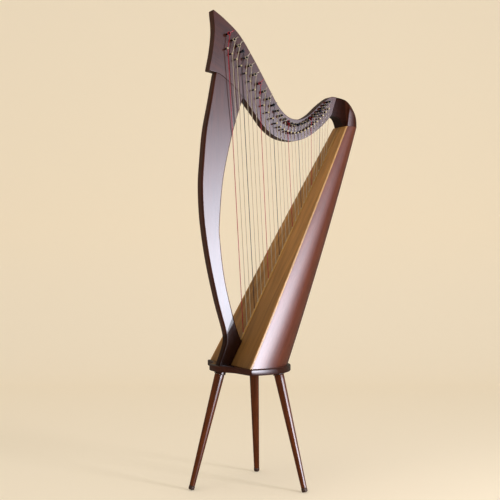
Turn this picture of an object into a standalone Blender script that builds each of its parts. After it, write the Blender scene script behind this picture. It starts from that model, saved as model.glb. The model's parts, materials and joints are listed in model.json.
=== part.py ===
"""A small folk harp on a three-legged stand: a carved neck and pillar, a half-round tapered
soundbox and strings wound on tuning pins that turn.

Metres, +Z up, +X from the pillar to the back of the soundbox, the strings on the -Y side of the
neck. The origin is at the middle of the bottom of the bounding box.
"""

import math

import bmesh
import bpy
from mathutils import Vector

# ---- driving sizes (metres, degrees) -------------------------------------------------------

GAP = 0.0003  # between pieces that touch
RUNNING = 0.0001  # round a tuning pin in its bore, on the radius

STAND_HEIGHT = 0.3495  # floor to the top of the stand's plate
BODY_HEIGHT = 1.0105  # top of the plate to the tip of the neck
BODY_LENGTH = 0.505  # front of the pillar to the back of the soundbox's top
PILLAR_AHEAD = 0.160  # front of the pillar ahead of the stand's centre

NECK_THICKNESS = 0.032
NECK_EDGE = 0.0028
SHOULDER_FALL = 0.034  # how far the shoulder block drops from its middle to its sides
PILLAR_THICKNESS = (0.031, 0.036, 0.027)  # under the neck, at mid height, at the foot
PILLAR_EDGE = 0.004

BOX_WIDTH_LOW = 0.290
BOX_WIDTH_TOP = 0.080
BOX_BELLY = 0.005  # how far each long side bows out at mid length
BOX_SIDE = 0.0075  # straight side of the box before its round back begins
SHELL_WALL = 0.0045
BOARD_THICKNESS = 0.004
TRIM_WIDTH = 0.006
LINING_SIZE = 0.010
RIB_WIDTH = 0.011
RIB_THICKNESS = 0.003
INNER_RIB_WIDTH = 0.024
INNER_RIB_THICKNESS = 0.006
BASE_BLOCK_HEIGHT = 0.022
TOP_BLOCK_HEIGHT = 0.026
BRACE_HEIGHT = 0.010
BRACE_DEPTH = 0.012
BRACES = {"brace_lower": 0.295, "brace_upper": 0.49}  # share of the box's height
PORTS = (0.20, 0.40, 0.59, 0.77)  # centres of the back openings, share of the box's height
PORT_WIDTHS = (0.088, 0.074, 0.058, 0.042)
PORT_LENGTH = 1.45  # of its width

PLATE_THICKNESS = 0.017
PLATE_HALF_WIDTH = 0.157
PLATE_HALF_DEPTH = 0.158
PLATE_CENTRE = -0.048  # from the stand's centre
PLATE_CORNERS = 0.024  # the two front corners ahead of that
PLATE_TONGUE = 0.049  # tip of the tongue ahead of the corners
PLATE_EDGE = 0.0022

LEG_TOP_RADIUS = 0.0955  # of the circle of leg centres, at the plate's underside
LEG_SPLAY = 15.2
LEG_TOP_THICKNESS = 0.0280
LEG_FOOT_THICKNESS = 0.0160
PAD_RADIUS = 0.0165
PAD_THICKNESS = 0.009
TIP_LENGTH = 0.011
TIP_THICKNESS = 0.0170
STUD_THICKNESS = 0.008
STUD_IN_PLATE = 0.011
STUD_IN_LEG = 0.028
LEGS = {"front": 180.0, "left": -60.0, "right": 60.0}  # bearing round the stand's centre

STRINGS = 28
STRING_STAND_OFF = 0.014  # string from the neck's side at the pins
STRING_THICK = 0.0016
STRING_THIN = 0.0008
PIN_THICKNESS = 0.0064
PIN_STRING_END = 0.020  # tuning pin beyond the neck, string side
PIN_KEY_END = 0.026  # tuning pin beyond the neck, key side
PIN_SQUARE = 0.0045
PIN_SQUARE_LENGTH = 0.015
BRIDGE_THICKNESS = 0.0046
BRIDGE_OUT = 0.021
BRIDGE_IN = 0.014

DOWEL_THICKNESS = 0.012
DOWEL_HALF = 0.026
BOLT_THICKNESS = 0.006
BOLT_HEAD = 0.013
BOLT_HEAD_HEIGHT = 0.004
BOLT_SPACING = 0.110
BOLT_IN_BLOCK = 0.015
SCREW_THICKNESS = 0.005
SCREW_HEAD = 0.010
SCREW_IN_PILLAR = 0.040

ROUND = 24  # sides of a turned piece
BOX_LEVELS = 9
BOX_SIDES = 24

# Side view outlines, as shares of BODY_LENGTH from the pillar's front and of BODY_HEIGHT from
# the plate. A smooth curve runs through each list.
NECK_FRONT = [(0.044, 0.829), (0.066, 0.885), (0.077, 0.942), (0.068, 0.998)]
NECK_TOP = [
    (0.072, 1.000), (0.141, 0.976), (0.234, 0.934), (0.327, 0.865), (0.422, 0.785), (0.485, 0.735),
    (0.550, 0.708), (0.616, 0.705), (0.681, 0.721), (0.746, 0.750), (0.814, 0.774), (0.860, 0.776),
]
SHOULDER_TOP = [
    (0.860, 0.776), (0.893, 0.771), (0.930, 0.759), (0.962, 0.738), (0.984, 0.714), (0.996, 0.689),
]
NECK_UNDER = [
    (0.826, 0.722), (0.780, 0.697), (0.713, 0.669), (0.648, 0.650), (0.582, 0.641), (0.519, 0.642),
    (0.453, 0.652), (0.390, 0.675), (0.327, 0.713), (0.257, 0.756),
]
SHOULDER_FRONT = [(0.826, 0.722), (0.864, 0.717), (0.882, 0.706), (0.897, 0.689)]
SEAM = [(0.257, 0.756), (0.190, 0.791), (0.111, 0.820), (0.044, 0.829)]  # neck on pillar
PILLAR_FRONT = [
    (0.086, 0.829), (0.056, 0.744), (0.024, 0.660), (0.008, 0.576), (0.000, 0.504), (0.010, 0.408),
    (0.044, 0.296), (0.095, 0.183), (0.143, 0.098), (0.150, 0.066), (0.134, 0.038), (0.106, 0.000),
]
PILLAR_BACK = [
    (0.245, 0.066), (0.202, 0.126), (0.143, 0.240), (0.113, 0.352), (0.111, 0.408), (0.131, 0.521),
    (0.178, 0.632), (0.218, 0.701), (0.254, 0.755),
]
BOARD_LOW = (0.183, 0.000)
BOARD_TOP = (0.897, 0.689)
TUNING_LINE = [
    (0.156, 0.933), (0.242, 0.884), (0.349, 0.796), (0.436, 0.737), (0.505, 0.701), (0.572, 0.687),
    (0.634, 0.694), (0.713, 0.721), (0.796, 0.760),
]
BRIDGE_LINE = [
    (0.145, 0.891), (0.230, 0.843), (0.343, 0.756), (0.426, 0.700), (0.495, 0.672), (0.568, 0.663),
    (0.632, 0.672), (0.711, 0.699), (0.790, 0.739),
]
# Place along the body's length of some strings, bass first, from which the rest follow.
TUNING_PLACES = [(1, 0.154), (3, 0.215), (6, 0.287), (11, 0.432), (15, 0.527), (21, 0.652), (28, 0.793)]
BRIDGE_PLACES = [(1, 0.143), (6, 0.283), (11, 0.424), (15, 0.519), (21, 0.650), (28, 0.788)]
BOARD_PLACES = [(1, 0.273), (4, 0.343), (8, 0.432), (11, 0.502), (18, 0.645), (28, 0.810)]

# ---- positions worked out from the sizes ---------------------------------------------------

SPLAY = math.radians(LEG_SPLAY)
PLATE_UNDER = STAND_HEIGHT - PLATE_THICKNESS
TIP_PROFILE = [(0.0, 0.5 * TIP_THICKNESS), (0.75 * TIP_LENGTH, 0.5 * TIP_THICKNESS),
               (TIP_LENGTH, 0.5 * TIP_THICKNESS - 0.0025)]
TIP_DROP = max(d * math.cos(SPLAY) + r * math.sin(SPLAY) for d, r in TIP_PROFILE)
LEG_LENGTH = (PLATE_UNDER - TIP_DROP) / math.cos(SPLAY)  # plate's underside to the rubber tip
FOOT_REACH = LEG_TOP_RADIUS + max(
    (LEG_LENGTH + d) * math.sin(SPLAY) + r * math.cos(SPLAY) for d, r in TIP_PROFILE
)
STAND_X = 0.5 * (FOOT_REACH - (BODY_LENGTH - PILLAR_AHEAD))
BODY_X = STAND_X - PILLAR_AHEAD
HALF_NECK = 0.5 * NECK_THICKNESS


def side(point):
    """World (x, z) of a point given as shares of the body's length and height."""
    return BODY_X + point[0] * BODY_LENGTH, STAND_HEIGHT + point[1] * BODY_HEIGHT


BOX_LOW_X, BOX_LOW_Z = side(BOARD_LOW)
BOX_TOP_X, BOX_TOP_Z = side(BOARD_TOP)
LEAN = math.atan2(BOX_TOP_X - BOX_LOW_X, BOX_TOP_Z - BOX_LOW_Z)
BOARD_DEPTH = BOARD_THICKNESS / math.cos(LEAN)  # of the soundboard, measured level


def box_share(z):
    return (z - BOX_LOW_Z) / (BOX_TOP_Z - BOX_LOW_Z)


def box_level(share):
    return BOX_LOW_Z + share * (BOX_TOP_Z - BOX_LOW_Z)


def board_x(z):
    """Front of the soundboard at a height."""
    return BOX_LOW_X + box_share(z) * (BOX_TOP_X - BOX_LOW_X)


def half_width(z):
    """Half of the soundbox's width at a height."""
    f = box_share(z)
    straight = BOX_WIDTH_LOW + f * (BOX_WIDTH_TOP - BOX_WIDTH_LOW)
    return 0.5 * straight + 4.0 * BOX_BELLY * f * (1.0 - f)


def back_depth(z):
    """Depth of the round back behind the straight sides, measured level."""
    return half_width(z) / math.cos(LEAN)


def inner_half_width(z, depth, inset):
    """Half width inside the box at a depth behind the board's front, inset from the outside."""
    past = (depth - BOX_SIDE) / (back_depth(z) - inset / math.cos(LEAN))
    return (half_width(z) - inset) * math.sqrt(1.0 - max(past, 0.0) ** 2)


# ---- modelling helpers ---------------------------------------------------------------------


def smooth(points, steps=4):
    """Points of a Catmull-Rom curve through the given ones."""
    ends = [[2 * points[0][k] - points[1][k] for k in (0, 1)]]
    ends += [list(p) for p in points] + [[2 * points[-1][k] - points[-2][k] for k in (0, 1)]]
    curve = []
    for a, b, c, d in zip(ends, ends[1:], ends[2:], ends[3:]):
        for step in range(steps):
            t = step / steps
            weights = (
                -0.5 * t + t * t - 0.5 * t**3,
                1.0 - 2.5 * t * t + 1.5 * t**3,
                0.5 * t + 2.0 * t * t - 1.5 * t**3,
                -0.5 * t * t + 0.5 * t**3,
            )
            curve.append(tuple(sum(w * p[k] for w, p in zip(weights, (a, b, c, d))) for k in (0, 1)))
    return curve + [tuple(points[-1])]


def outline(*runs):
    """One closed side view outline in world (x, z), from runs that share their end points."""
    points = []
    for run in runs:
        points += [side(p) for p in run[:-1]]
    return points


def value_on(line, u):
    """The second share of a smooth line at a first share, whichever way the line runs."""
    curve = sorted(smooth(line, 12))
    u = min(max(u, curve[0][0]), curve[-1][0])
    for (u0, v0), (u1, v1) in zip(curve, curve[1:]):
        if u <= u1:
            break
    return v0 + (v1 - v0) * (u - u0) / (u1 - u0)


def material(name, colour, roughness, metallic=0.0):
    made = bpy.data.materials.new(name)
    made.use_nodes = True
    shader = made.node_tree.nodes["Principled BSDF"]
    shader.inputs["Base Color"].default_value = (*colour, 1.0)
    shader.inputs["Roughness"].default_value = roughness
    shader.inputs["Metallic"].default_value = metallic
    made.diffuse_color = (*colour, 1.0)
    return made


def add(name, bm, finish, flat=35.0):
    """An object from a bmesh, its faces turned outwards."""
    bmesh.ops.recalc_face_normals(bm, faces=bm.faces)
    mesh = bpy.data.meshes.new(name)
    bm.to_mesh(mesh)
    bm.free()
    mesh.shade_smooth()
    mesh.set_sharp_from_angle(angle=math.radians(flat))
    obj = bpy.data.objects.new(name, mesh)
    bpy.context.scene.collection.objects.link(obj)
    if finish:
        mesh.materials.append(finish)
    return obj


def slab(name, points, half, finish):
    """A side view outline extruded across the harp. half gives its half thickness at a height."""
    bm = bmesh.new()
    face = bm.faces.new([bm.verts.new((x, -half(z), z)) for x, z in points])
    made = bmesh.ops.extrude_face_region(bm, geom=[face])["geom"]
    for vert in [v for v in made if isinstance(v, bmesh.types.BMVert)]:
        vert.co.y = half(vert.co.z)
    return add(name, bm, finish)


def plan_slab(name, points, low, high, finish):
    """A plan view outline extruded upwards."""
    bm = bmesh.new()
    face = bm.faces.new([bm.verts.new((x, y, low)) for x, y in points])
    made = bmesh.ops.extrude_face_region(bm, geom=[face])["geom"]
    bmesh.ops.translate(bm, verts=[v for v in made if isinstance(v, bmesh.types.BMVert)],
                        vec=(0.0, 0.0, high - low))
    return add(name, bm, finish)


def loft_mesh(rings):
    """A closed bmesh through rings of equal numbers of points, its ends capped."""
    bm = bmesh.new()
    loops = [[bm.verts.new(p) for p in ring] for ring in rings]
    for near, far in zip(loops, loops[1:]):
        for k in range(len(near)):
            bm.faces.new((near[k - 1], near[k], far[k], far[k - 1]))
    bm.faces.new(loops[0])
    bm.faces.new(loops[-1])
    return bm


def loft(name, rings, finish):
    return add(name, loft_mesh(rings), finish)


def ring_about(centre, axis, radius, sides=ROUND, square=0.0):
    """Points round an axis: a circle, or a square of half side square."""
    aside = axis.orthogonal() if abs(axis.z) < 0.5 else axis.cross(Vector((0.0, 1.0, 0.0)))
    aside.normalize()
    over = axis.cross(aside).normalized()
    points = []
    for k in range(sides):
        angle = math.tau * (k + 0.5) / sides
        c, s = math.cos(angle), math.sin(angle)
        reach = square / max(abs(c), abs(s)) if square else radius
        points.append(centre + reach * (c * aside + s * over))
    return points


def turned(name, start, axis, profile, finish, sides=ROUND):
    """A turned piece: the profile holds (distance along the axis, radius)."""
    rings = [ring_about(start + d * axis, axis, r, sides) for d, r in profile]
    return loft(name, rings, finish)


def rod(name, start, end, radius, finish=None, sides=16):
    axis = (end - start).normalized()
    return turned(name, start, axis, [(0.0, radius), ((end - start).length, radius)], finish, sides)


def bevel(obj, width, segments=2):
    made = obj.modifiers.new("edges", "BEVEL")
    made.width = width
    made.segments = segments
    made.limit_method = "ANGLE"
    made.angle_limit = math.radians(50.0)


def combine(obj, other, operation="DIFFERENCE", solver="EXACT"):
    """A Boolean with a helper object, which stays out of the model."""
    made = obj.modifiers.new(other.name, "BOOLEAN")
    made.operation = operation
    made.solver = solver
    made.object = other
    other.hide_render = True
    other.display_type = "WIRE"


def joined(name, pieces):
    """Several helper meshes as one object."""
    bm = bmesh.new()
    for piece in pieces:
        bm.from_mesh(piece.data)
        bpy.data.objects.remove(piece)
    return add(name, bm, None)


# ---- the soundbox --------------------------------------------------------------------------


def back_arc(z, inset, start_depth):
    """Plan points from the -Y side round the back to the +Y side, inset from the outside."""
    x = board_x(z)
    level_inset = inset / math.cos(LEAN)
    wide, deep = half_width(z) - inset, back_depth(z) - level_inset
    points = [Vector((x + start_depth, -inner_half_width(z, start_depth, inset), z))]
    first = math.asin(min(max((start_depth - BOX_SIDE) / deep, 0.0), 0.9)) + math.radians(2.0)
    for k in range(BOX_SIDES + 1):
        angle = -math.pi / 2 + first + (math.pi - 2 * first) * k / BOX_SIDES
        points.append(Vector((x + BOX_SIDE + deep * math.cos(angle), wide * math.sin(angle), z)))
    points.append(Vector((x + start_depth, inner_half_width(z, start_depth, inset), z)))
    return points


def levels(low, high, count=BOX_LEVELS):
    return [low + (high - low) * k / (count - 1) for k in range(count)]


def u_band(name, heights, outer, inner, start_depth, finish):
    """A band that follows the round back, between two insets from the outside."""
    rings = [back_arc(z, outer, start_depth) + back_arc(z, inner, start_depth)[::-1] for z in heights]
    return loft(name, rings, finish)


def plug(name, low, high, finish):
    """A solid block that fills the box between two heights, behind the soundboard."""
    front = BOARD_DEPTH + GAP
    rings = [back_arc(z, SHELL_WALL + GAP, front) for z in (low, high)]
    return loft(name, rings, finish)


def strip(name, low, high, front, depth, near, far, finish):
    """A strip along the box: near and far give its two edges across, at a height."""
    rings = []
    for z in levels(low, high):
        x = board_x(z) + front
        rings.append([Vector((x, near(z), z)), Vector((x + depth, near(z), z)),
                      Vector((x + depth, far(z), z)), Vector((x, far(z), z))])
    return loft(name, rings, finish)


def make_ports(shell):
    """Four oval openings through the round back, where strings are threaded."""
    low = Vector((board_x(BOX_LOW_Z) + BOX_SIDE + back_depth(BOX_LOW_Z), 0.0, BOX_LOW_Z))
    top = Vector((board_x(BOX_TOP_Z) + BOX_SIDE + back_depth(BOX_TOP_Z), 0.0, BOX_TOP_Z))
    up = (top - low).normalized()
    out = Vector((up.z, 0.0, -up.x))
    cutters = []
    for share, width in zip(PORTS, PORT_WIDTHS):
        centre = low.lerp(top, share)
        ring = []
        for k in range(ROUND):
            angle = math.tau * k / ROUND
            across = Vector((0.0, 0.5 * width * math.cos(angle), 0.0))
            ring.append(centre + across + 0.5 * PORT_LENGTH * width * math.sin(angle) * up)
        reach = 0.5 * width
        cutters.append(loft("port", [[p - reach * out for p in ring], [p + reach * out for p in ring]], None))
    combine(shell, joined("port_cutters", cutters))


def make_box():
    mahogany = material("shell_mahogany", (0.16, 0.047, 0.031), 0.22)
    spruce = material("soundboard_wood", (0.25, 0.125, 0.038), 0.38)
    banding = material("banding_wood", (0.39, 0.22, 0.078), 0.38)
    raw = material("unfinished_wood", (0.45, 0.30, 0.16), 0.70)
    low, high = BOX_LOW_Z + GAP, BOX_TOP_Z
    behind = BOARD_DEPTH + GAP
    shell = u_band("soundbox_shell", levels(low, high), 0.0, SHELL_WALL, behind, mahogany)
    make_ports(shell)
    strip("soundboard", low, high, 0.0, BOARD_DEPTH,
          lambda z: -half_width(z) + TRIM_WIDTH + GAP, lambda z: half_width(z) - TRIM_WIDTH - GAP, spruce)
    for name, sign in (("left", -1), ("right", 1)):
        strip(f"edge_trim_{name}", low, high, 0.0, BOARD_DEPTH,
              lambda z: sign * half_width(z), lambda z: sign * (half_width(z) - TRIM_WIDTH), banding)
        depth = LINING_SIZE / math.cos(LEAN)
        outer = lambda z: inner_half_width(z, behind + depth, SHELL_WALL) - 2 * GAP
        strip(f"lining_{name}", low + BASE_BLOCK_HEIGHT + 2 * GAP, high - TOP_BLOCK_HEIGHT - 2 * GAP,
              behind, depth, lambda z: sign * outer(z), lambda z: sign * (outer(z) - LINING_SIZE), raw)
    strip("inner_rib", low + BASE_BLOCK_HEIGHT + 2 * GAP, high - TOP_BLOCK_HEIGHT - 2 * GAP,
          behind, INNER_RIB_THICKNESS,
          lambda z: -0.5 * INNER_RIB_WIDTH, lambda z: 0.5 * INNER_RIB_WIDTH, raw)
    plug("top_block", high - TOP_BLOCK_HEIGHT, high - GAP, raw)
    for name, share in BRACES.items():
        z = box_level(share)
        clear = behind + LINING_SIZE / math.cos(LEAN) + BRACE_HEIGHT * math.tan(LEAN) + GAP
        u_band(name, (z, z + BRACE_HEIGHT), SHELL_WALL + 2 * GAP, SHELL_WALL + BRACE_DEPTH, clear, raw)
    return plug("base_block", low, low + BASE_BLOCK_HEIGHT, raw)


# ---- neck, shoulder and pillar -------------------------------------------------------------


def string_lines():
    """Tuning pin, bridge pin and board points of each string, bass first, as world (x, z)."""
    lines = []
    for number in range(1, STRINGS + 1):
        place = 1 + (number - 1) * (TUNING_PLACES[-1][0] - 1) / (STRINGS - 1)
        tuning, bridge = value_on(TUNING_PLACES, place), value_on(BRIDGE_PLACES, place)
        x = side((value_on(BOARD_PLACES, place), 0.0))[0]
        lines.append((side((tuning, value_on(TUNING_LINE, tuning))),
                      side((bridge, value_on(BRIDGE_LINE, bridge))),
                      (x, BOX_LOW_Z + (x - BOX_LOW_X) / math.tan(LEAN))))
    return lines


def make_neck(dark, dowel):
    line = outline(smooth(NECK_FRONT), [NECK_FRONT[-1], NECK_TOP[0]], smooth(NECK_TOP),
                   [NECK_TOP[-1], NECK_UNDER[0]], smooth(NECK_UNDER), smooth(SEAM))
    neck = slab("neck", line, lambda z: HALF_NECK, dark)
    bevel(neck, NECK_EDGE)
    neck.modifiers.new("triangles", "TRIANGULATE")  # its sides hold many bores
    across = Vector((0.0, 1.0, 0.0))
    bores = []
    pin_bore = (0.5 * PIN_THICKNESS + RUNNING) / math.cos(math.pi / 12)
    for tuning, bridge, _ in string_lines():
        centre = Vector((tuning[0], 0.0, tuning[1]))
        bores.append(rod("bore", centre - NECK_THICKNESS * across, centre + NECK_THICKNESS * across,
                         pin_bore, sides=12))
        centre = Vector((bridge[0], 0.0, bridge[1]))
        bores.append(rod("bore", centre - NECK_THICKNESS * across,
                         centre + (BRIDGE_IN + 2 * GAP - HALF_NECK) * across,
                         0.5 * BRIDGE_THICKNESS + GAP, sides=8))
    # The exact solver leaves out the wall of a bore at some sizes, where this one holds.
    combine(neck, joined("neck_bores", bores), solver="MANIFOLD")
    combine(neck, dowel, solver="MANIFOLD")
    return neck


def make_shoulder(dark):
    """The block that widens from the neck to the soundbox: a side, a plan and a crown intersected."""
    top, front = ([(u + GAP / BODY_LENGTH, v) for u, v in smooth(run)]
                  for run in (SHOULDER_TOP, SHOULDER_FRONT))
    crown = [side(p) for p in top]
    for run in (top, front):
        run[-1] = (run[-1][0], run[-1][1] + GAP / BODY_HEIGHT)
    line = outline(top, [top[-1], front[-1]], front[::-1], [front[0], top[0]])
    wide = half_width(BOX_TOP_Z)
    block = slab("shoulder_block", line, lambda z: wide, dark)
    start = side((0.826, 0.0))[0] - 0.02
    cove_x = side((0.868, 0.0))[0]
    crease_x = BOX_TOP_X + 0.5 * BOX_SIDE
    cove = [(cove_x + (crease_x - cove_x) * math.sin(a),
             HALF_NECK + (wide - HALF_NECK) * (1.0 - math.cos(a)))
            for a in (math.radians(15.0 * k) for k in range(7))]
    back_x, deep = BOX_TOP_X + BOX_SIDE, back_depth(BOX_TOP_Z)
    arc = [(back_x + deep * math.sin(a), wide * math.cos(a)) for a in (math.pi * k / 24 for k in range(13))]
    half = [(start, HALF_NECK)] + cove + arc
    plan = half + [(x, -y) for x, y in half[-2::-1]]
    low = BOX_TOP_Z - 0.05
    combine(block, plan_slab("shoulder_plan", plan, low, STAND_HEIGHT + BODY_HEIGHT, None), "INTERSECT")
    rings = []
    for x, z in [(start, crown[0][1]), *crown, (back_x + deep + 0.02, BOX_TOP_Z)]:
        arch = [((wide + 0.001) * math.sin(a), z + GAP - SHOULDER_FALL * (1.0 - math.cos(a)))
                for a in (math.radians(15.0 * k) for k in range(-6, 7))]
        rings.append([Vector((x, y, z)) for y, z in [(arch[0][0], low), *arch, (arch[-1][0], low)]])
    combine(block, loft("shoulder_crown", rings, None), "INTERSECT")


def make_pillar(dark, dowel):
    """The pillar under the neck, thickest at mid height, its foot against the soundboard."""
    drop = 2 * GAP / BODY_HEIGHT
    ahead = 2 * GAP / BODY_LENGTH
    front, back = smooth(PILLAR_FRONT), smooth(PILLAR_BACK)
    first, last = front[0][0], back[-1][0]
    front[0] = (first, value_on(SEAM, first) - drop)
    back[-1] = (last, value_on(SEAM, last) - drop)
    seam = [(u, v - drop) for u, v in smooth(SEAM) if first + 0.003 < u < last - 0.003]
    front[-1] = (front[-1][0], drop)
    heel = (BOARD_LOW[0] - ahead, drop)
    corner_z = side(PILLAR_BACK[0])[1]
    back[0] = ((board_x(corner_z) - BODY_X) / BODY_LENGTH - ahead, back[0][1])
    line = outline(back, [back[-1], *seam, front[0]], front, [front[-1], heel], [heel, back[0]])
    top, middle, bottom = (0.5 * t for t in PILLAR_THICKNESS)
    z_low, z_top = STAND_HEIGHT, side(SEAM[1])[1]

    def half(z):
        f = (z - z_low) / (z_top - z_low)
        return bottom + f * (4 * middle - 3 * bottom - top) + f * f * (2 * bottom + 2 * top - 4 * middle)

    pillar = slab("pillar", line, half, dark)
    bevel(pillar, PILLAR_EDGE)
    combine(pillar, dowel)
    return pillar


def make_frame():
    dark = material("stained_lacquered_wood", (0.062, 0.030, 0.022), 0.20)
    dowel_finish = material("beech_dowel", (0.55, 0.38, 0.22), 0.7)
    x = side((0.150, 0.0))[0]
    z = side((0.0, 0.806))[1]
    for_dowel = [Vector((x, 0.0, z - DOWEL_HALF)), Vector((x, 0.0, z + DOWEL_HALF))]
    rod("neck_dowel", *for_dowel, 0.5 * DOWEL_THICKNESS, dowel_finish, 12)
    spare = Vector((0.0, 0.0, GAP))
    bore = rod("dowel_bore", for_dowel[0] - spare, for_dowel[1] + spare,
               0.5 * DOWEL_THICKNESS + GAP, sides=12)
    make_neck(dark, bore)
    make_shoulder(dark)
    return make_pillar(dark, bore)


# ---- strings and pins ----------------------------------------------------------------------


def make_strings():
    """The strings on their outer rib, with the bridge pins that they bear on, as one course."""
    finish = material("nylon_and_brass", (0.62, 0.55, 0.42), 0.35)
    low = side(PILLAR_BACK[0])[1] + 0.004
    course = strip("strings_on_rib", low, BOX_TOP_Z - GAP, -GAP, -RIB_THICKNESS,
                   lambda z: 0.5 * RIB_WIDTH, lambda z: -0.5 * RIB_WIDTH, finish)
    across = Vector((0.0, 1.0, 0.0))
    bearing = -HALF_NECK - STRING_STAND_OFF
    pieces = []
    for k, (_, bridge, board) in enumerate(string_lines()):
        radius = 0.5 * (STRING_THICK + (STRING_THIN - STRING_THICK) * k / (STRINGS - 1))
        centre = Vector((bridge[0], 0.0, bridge[1]))
        pieces.append(rod("bridge_pin", centre - (HALF_NECK + BRIDGE_OUT) * across,
                          centre + (BRIDGE_IN - HALF_NECK) * across, 0.5 * BRIDGE_THICKNESS, sides=8))
        top = Vector((bridge[0] + 0.5 * BRIDGE_THICKNESS - 0.3 * radius, bearing, bridge[1]))
        bottom = Vector((board[0] - 0.4 * RIB_THICKNESS, 0.0, board[1]))
        pieces.append(rod("string", bottom, top, radius, sides=6))
    helper = joined("string_helper", pieces)
    combine(course, helper, "UNION")
    course.modifiers[-1].use_self = True
    course.modifiers[-1].use_hole_tolerant = False


def make_tuning_pins():
    steel = material("blued_steel_pin", (0.05, 0.05, 0.055), 0.30, 0.9)
    across = Vector((0.0, 1.0, 0.0))
    radius, square = 0.5 * PIN_THICKNESS, 0.5 * PIN_SQUARE
    string_end, key_end = HALF_NECK + PIN_STRING_END, HALF_NECK + PIN_KEY_END
    square_start = key_end - PIN_SQUARE_LENGTH
    rings = [ring_about(-string_end * across, across, radius, 12),
             ring_about(square_start * across, across, radius, 12),
             ring_about((square_start + 0.001) * across, across, 0.0, 12, square),
             ring_about(key_end * across, across, 0.0, 12, square)]
    first = loft("tuning_pin_01", rings, steel)
    for k, (tuning, _, _) in enumerate(string_lines()):
        pin = first if k == 0 else bpy.data.objects.new(f"tuning_pin_{k + 1:02d}", first.data)
        if k:
            bpy.context.scene.collection.objects.link(pin)
        pin.location = (tuning[0], 0.0, tuning[1])


# ---- the stand -----------------------------------------------------------------------------


def plate_outline():
    """Plan of the plate: a round back, two front corners and a tongue under the pillar's foot."""
    centre = STAND_X + PLATE_CENTRE
    corner_x = centre - PLATE_CORNERS
    start = math.acos(-PLATE_CORNERS / PLATE_HALF_DEPTH)
    back = [(centre + PLATE_HALF_DEPTH * math.cos(a), PLATE_HALF_WIDTH * math.sin(a))
            for a in (start * (1.0 - k / 20) for k in range(41))]
    corner_y = back[0][1]
    shape = [(0.0, 1.0), (0.14, 0.74), (0.28, 0.50), (0.50, 0.37), (0.80, 0.28), (0.97, 0.13)]
    tongue = [(corner_x - PLATE_TONGUE * ahead, -corner_y * across) for ahead, across in shape]
    tongue += [(x, -y) for x, y in tongue[::-1]]
    return back[:-1] + smooth(tongue, 3)[:-1]


def make_stand(base_block, pillar):
    dark = material("plate_lacquered_wood", (0.05, 0.022, 0.015), 0.22)
    turned_wood = material("leg_mahogany", (0.13, 0.035, 0.018), 0.16)
    steel = material("zinc_plated_steel", (0.62, 0.62, 0.60), 0.35, 1.0)
    rubber = material("black_rubber", (0.02, 0.02, 0.02), 0.8)
    plate = plan_slab("stand_plate", plate_outline(), PLATE_UNDER, STAND_HEIGHT, dark)
    bevel(plate, PLATE_EDGE)
    bores = []
    for name, bearing in LEGS.items():
        out = Vector((math.cos(math.radians(bearing)), math.sin(math.radians(bearing)), 0.0))
        axis = math.sin(SPLAY) * out - Vector((0.0, 0.0, math.cos(SPLAY)))
        top = Vector((STAND_X, 0.0, PLATE_UNDER)) + LEG_TOP_RADIUS * out
        bores.append(rod("bore", top - (STUD_IN_PLATE + GAP) * axis, top + 0.01 * axis,
                         0.5 * STUD_THICKNESS + GAP, sides=12))
        make_leg(name, top, axis, dark, turned_wood, steel, rubber)
    for name, y in (("left", -0.5 * BOLT_SPACING), ("right", 0.5 * BOLT_SPACING)):
        foot = Vector((STAND_X - 0.015, y, PLATE_UNDER))
        bores.append(make_bolt(f"stand_bolt_{name}", foot, BOLT_THICKNESS, BOLT_HEAD,
                               PLATE_THICKNESS + BOLT_IN_BLOCK, steel, base_block))
    foot = Vector((board_x(STAND_HEIGHT) - 0.0078, 0.0, PLATE_UNDER))
    bores.append(make_bolt("pillar_screw", foot, SCREW_THICKNESS, SCREW_HEAD,
                           PLATE_THICKNESS + SCREW_IN_PILLAR, steel, pillar))
    combine(plate, joined("plate_bores", bores))


def make_bolt(name, foot, thickness, head, length, finish, into):
    """A bolt up through the plate, its head sunk flush. It returns the cutter for the plate's hole."""
    up = Vector((0.0, 0.0, 1.0))
    profile = [(GAP, 0.5 * head), (BOLT_HEAD_HEIGHT, 0.5 * head), (BOLT_HEAD_HEIGHT, 0.5 * thickness),
               (length, 0.5 * thickness)]
    turned(name, foot, up, profile, finish, 12)
    wide = 0.5 * thickness + GAP
    combine(into, rod(name + "_bore", foot, foot + (length + GAP) * up, wide, sides=12))
    sink = BOLT_HEAD_HEIGHT + GAP
    return turned("bore", foot, up, [(-0.01, 0.5 * head + GAP), (sink, 0.5 * head + GAP), (sink, wide),
                                     (PLATE_THICKNESS + 0.01, wide)], None, 12)


def make_leg(name, top, axis, dark, wood, steel, rubber):
    """One leg: wedge pad under the plate, threaded stud, turned leg and rubber tip."""
    stud = rod(f"leg_stud_{name}", top - STUD_IN_PLATE * axis, top + (PAD_THICKNESS + STUD_IN_LEG) * axis,
               0.5 * STUD_THICKNESS, steel, 12)
    bore = rod(f"stud_bore_{name}", top - 0.02 * axis, top + (PAD_THICKNESS + STUD_IN_LEG + GAP) * axis,
               0.5 * STUD_THICKNESS + GAP, sides=12)
    down = Vector((0.0, 0.0, -1.0))
    slope = ring_about(top + PAD_THICKNESS * axis, axis, PAD_RADIUS)
    level = [Vector((p.x, p.y, top.z)) + GAP * down for p in ring_about(top, axis, PAD_RADIUS)]
    pad = loft(f"leg_pad_{name}", [level, slope], dark)
    combine(pad, bore)
    start, end = PAD_THICKNESS + GAP, LEG_LENGTH - GAP
    wide, narrow = 0.5 * LEG_TOP_THICKNESS, 0.5 * LEG_FOOT_THICKNESS
    profile = [(start, wide - 0.002), (start + 0.002, wide), (end, narrow)]
    leg = turned(f"leg_{name}", top, axis, profile, wood)
    combine(leg, bore)
    turned(f"foot_tip_{name}", top + LEG_LENGTH * axis, axis, TIP_PROFILE, rubber)


# ---- the whole harp ------------------------------------------------------------------------


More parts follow.
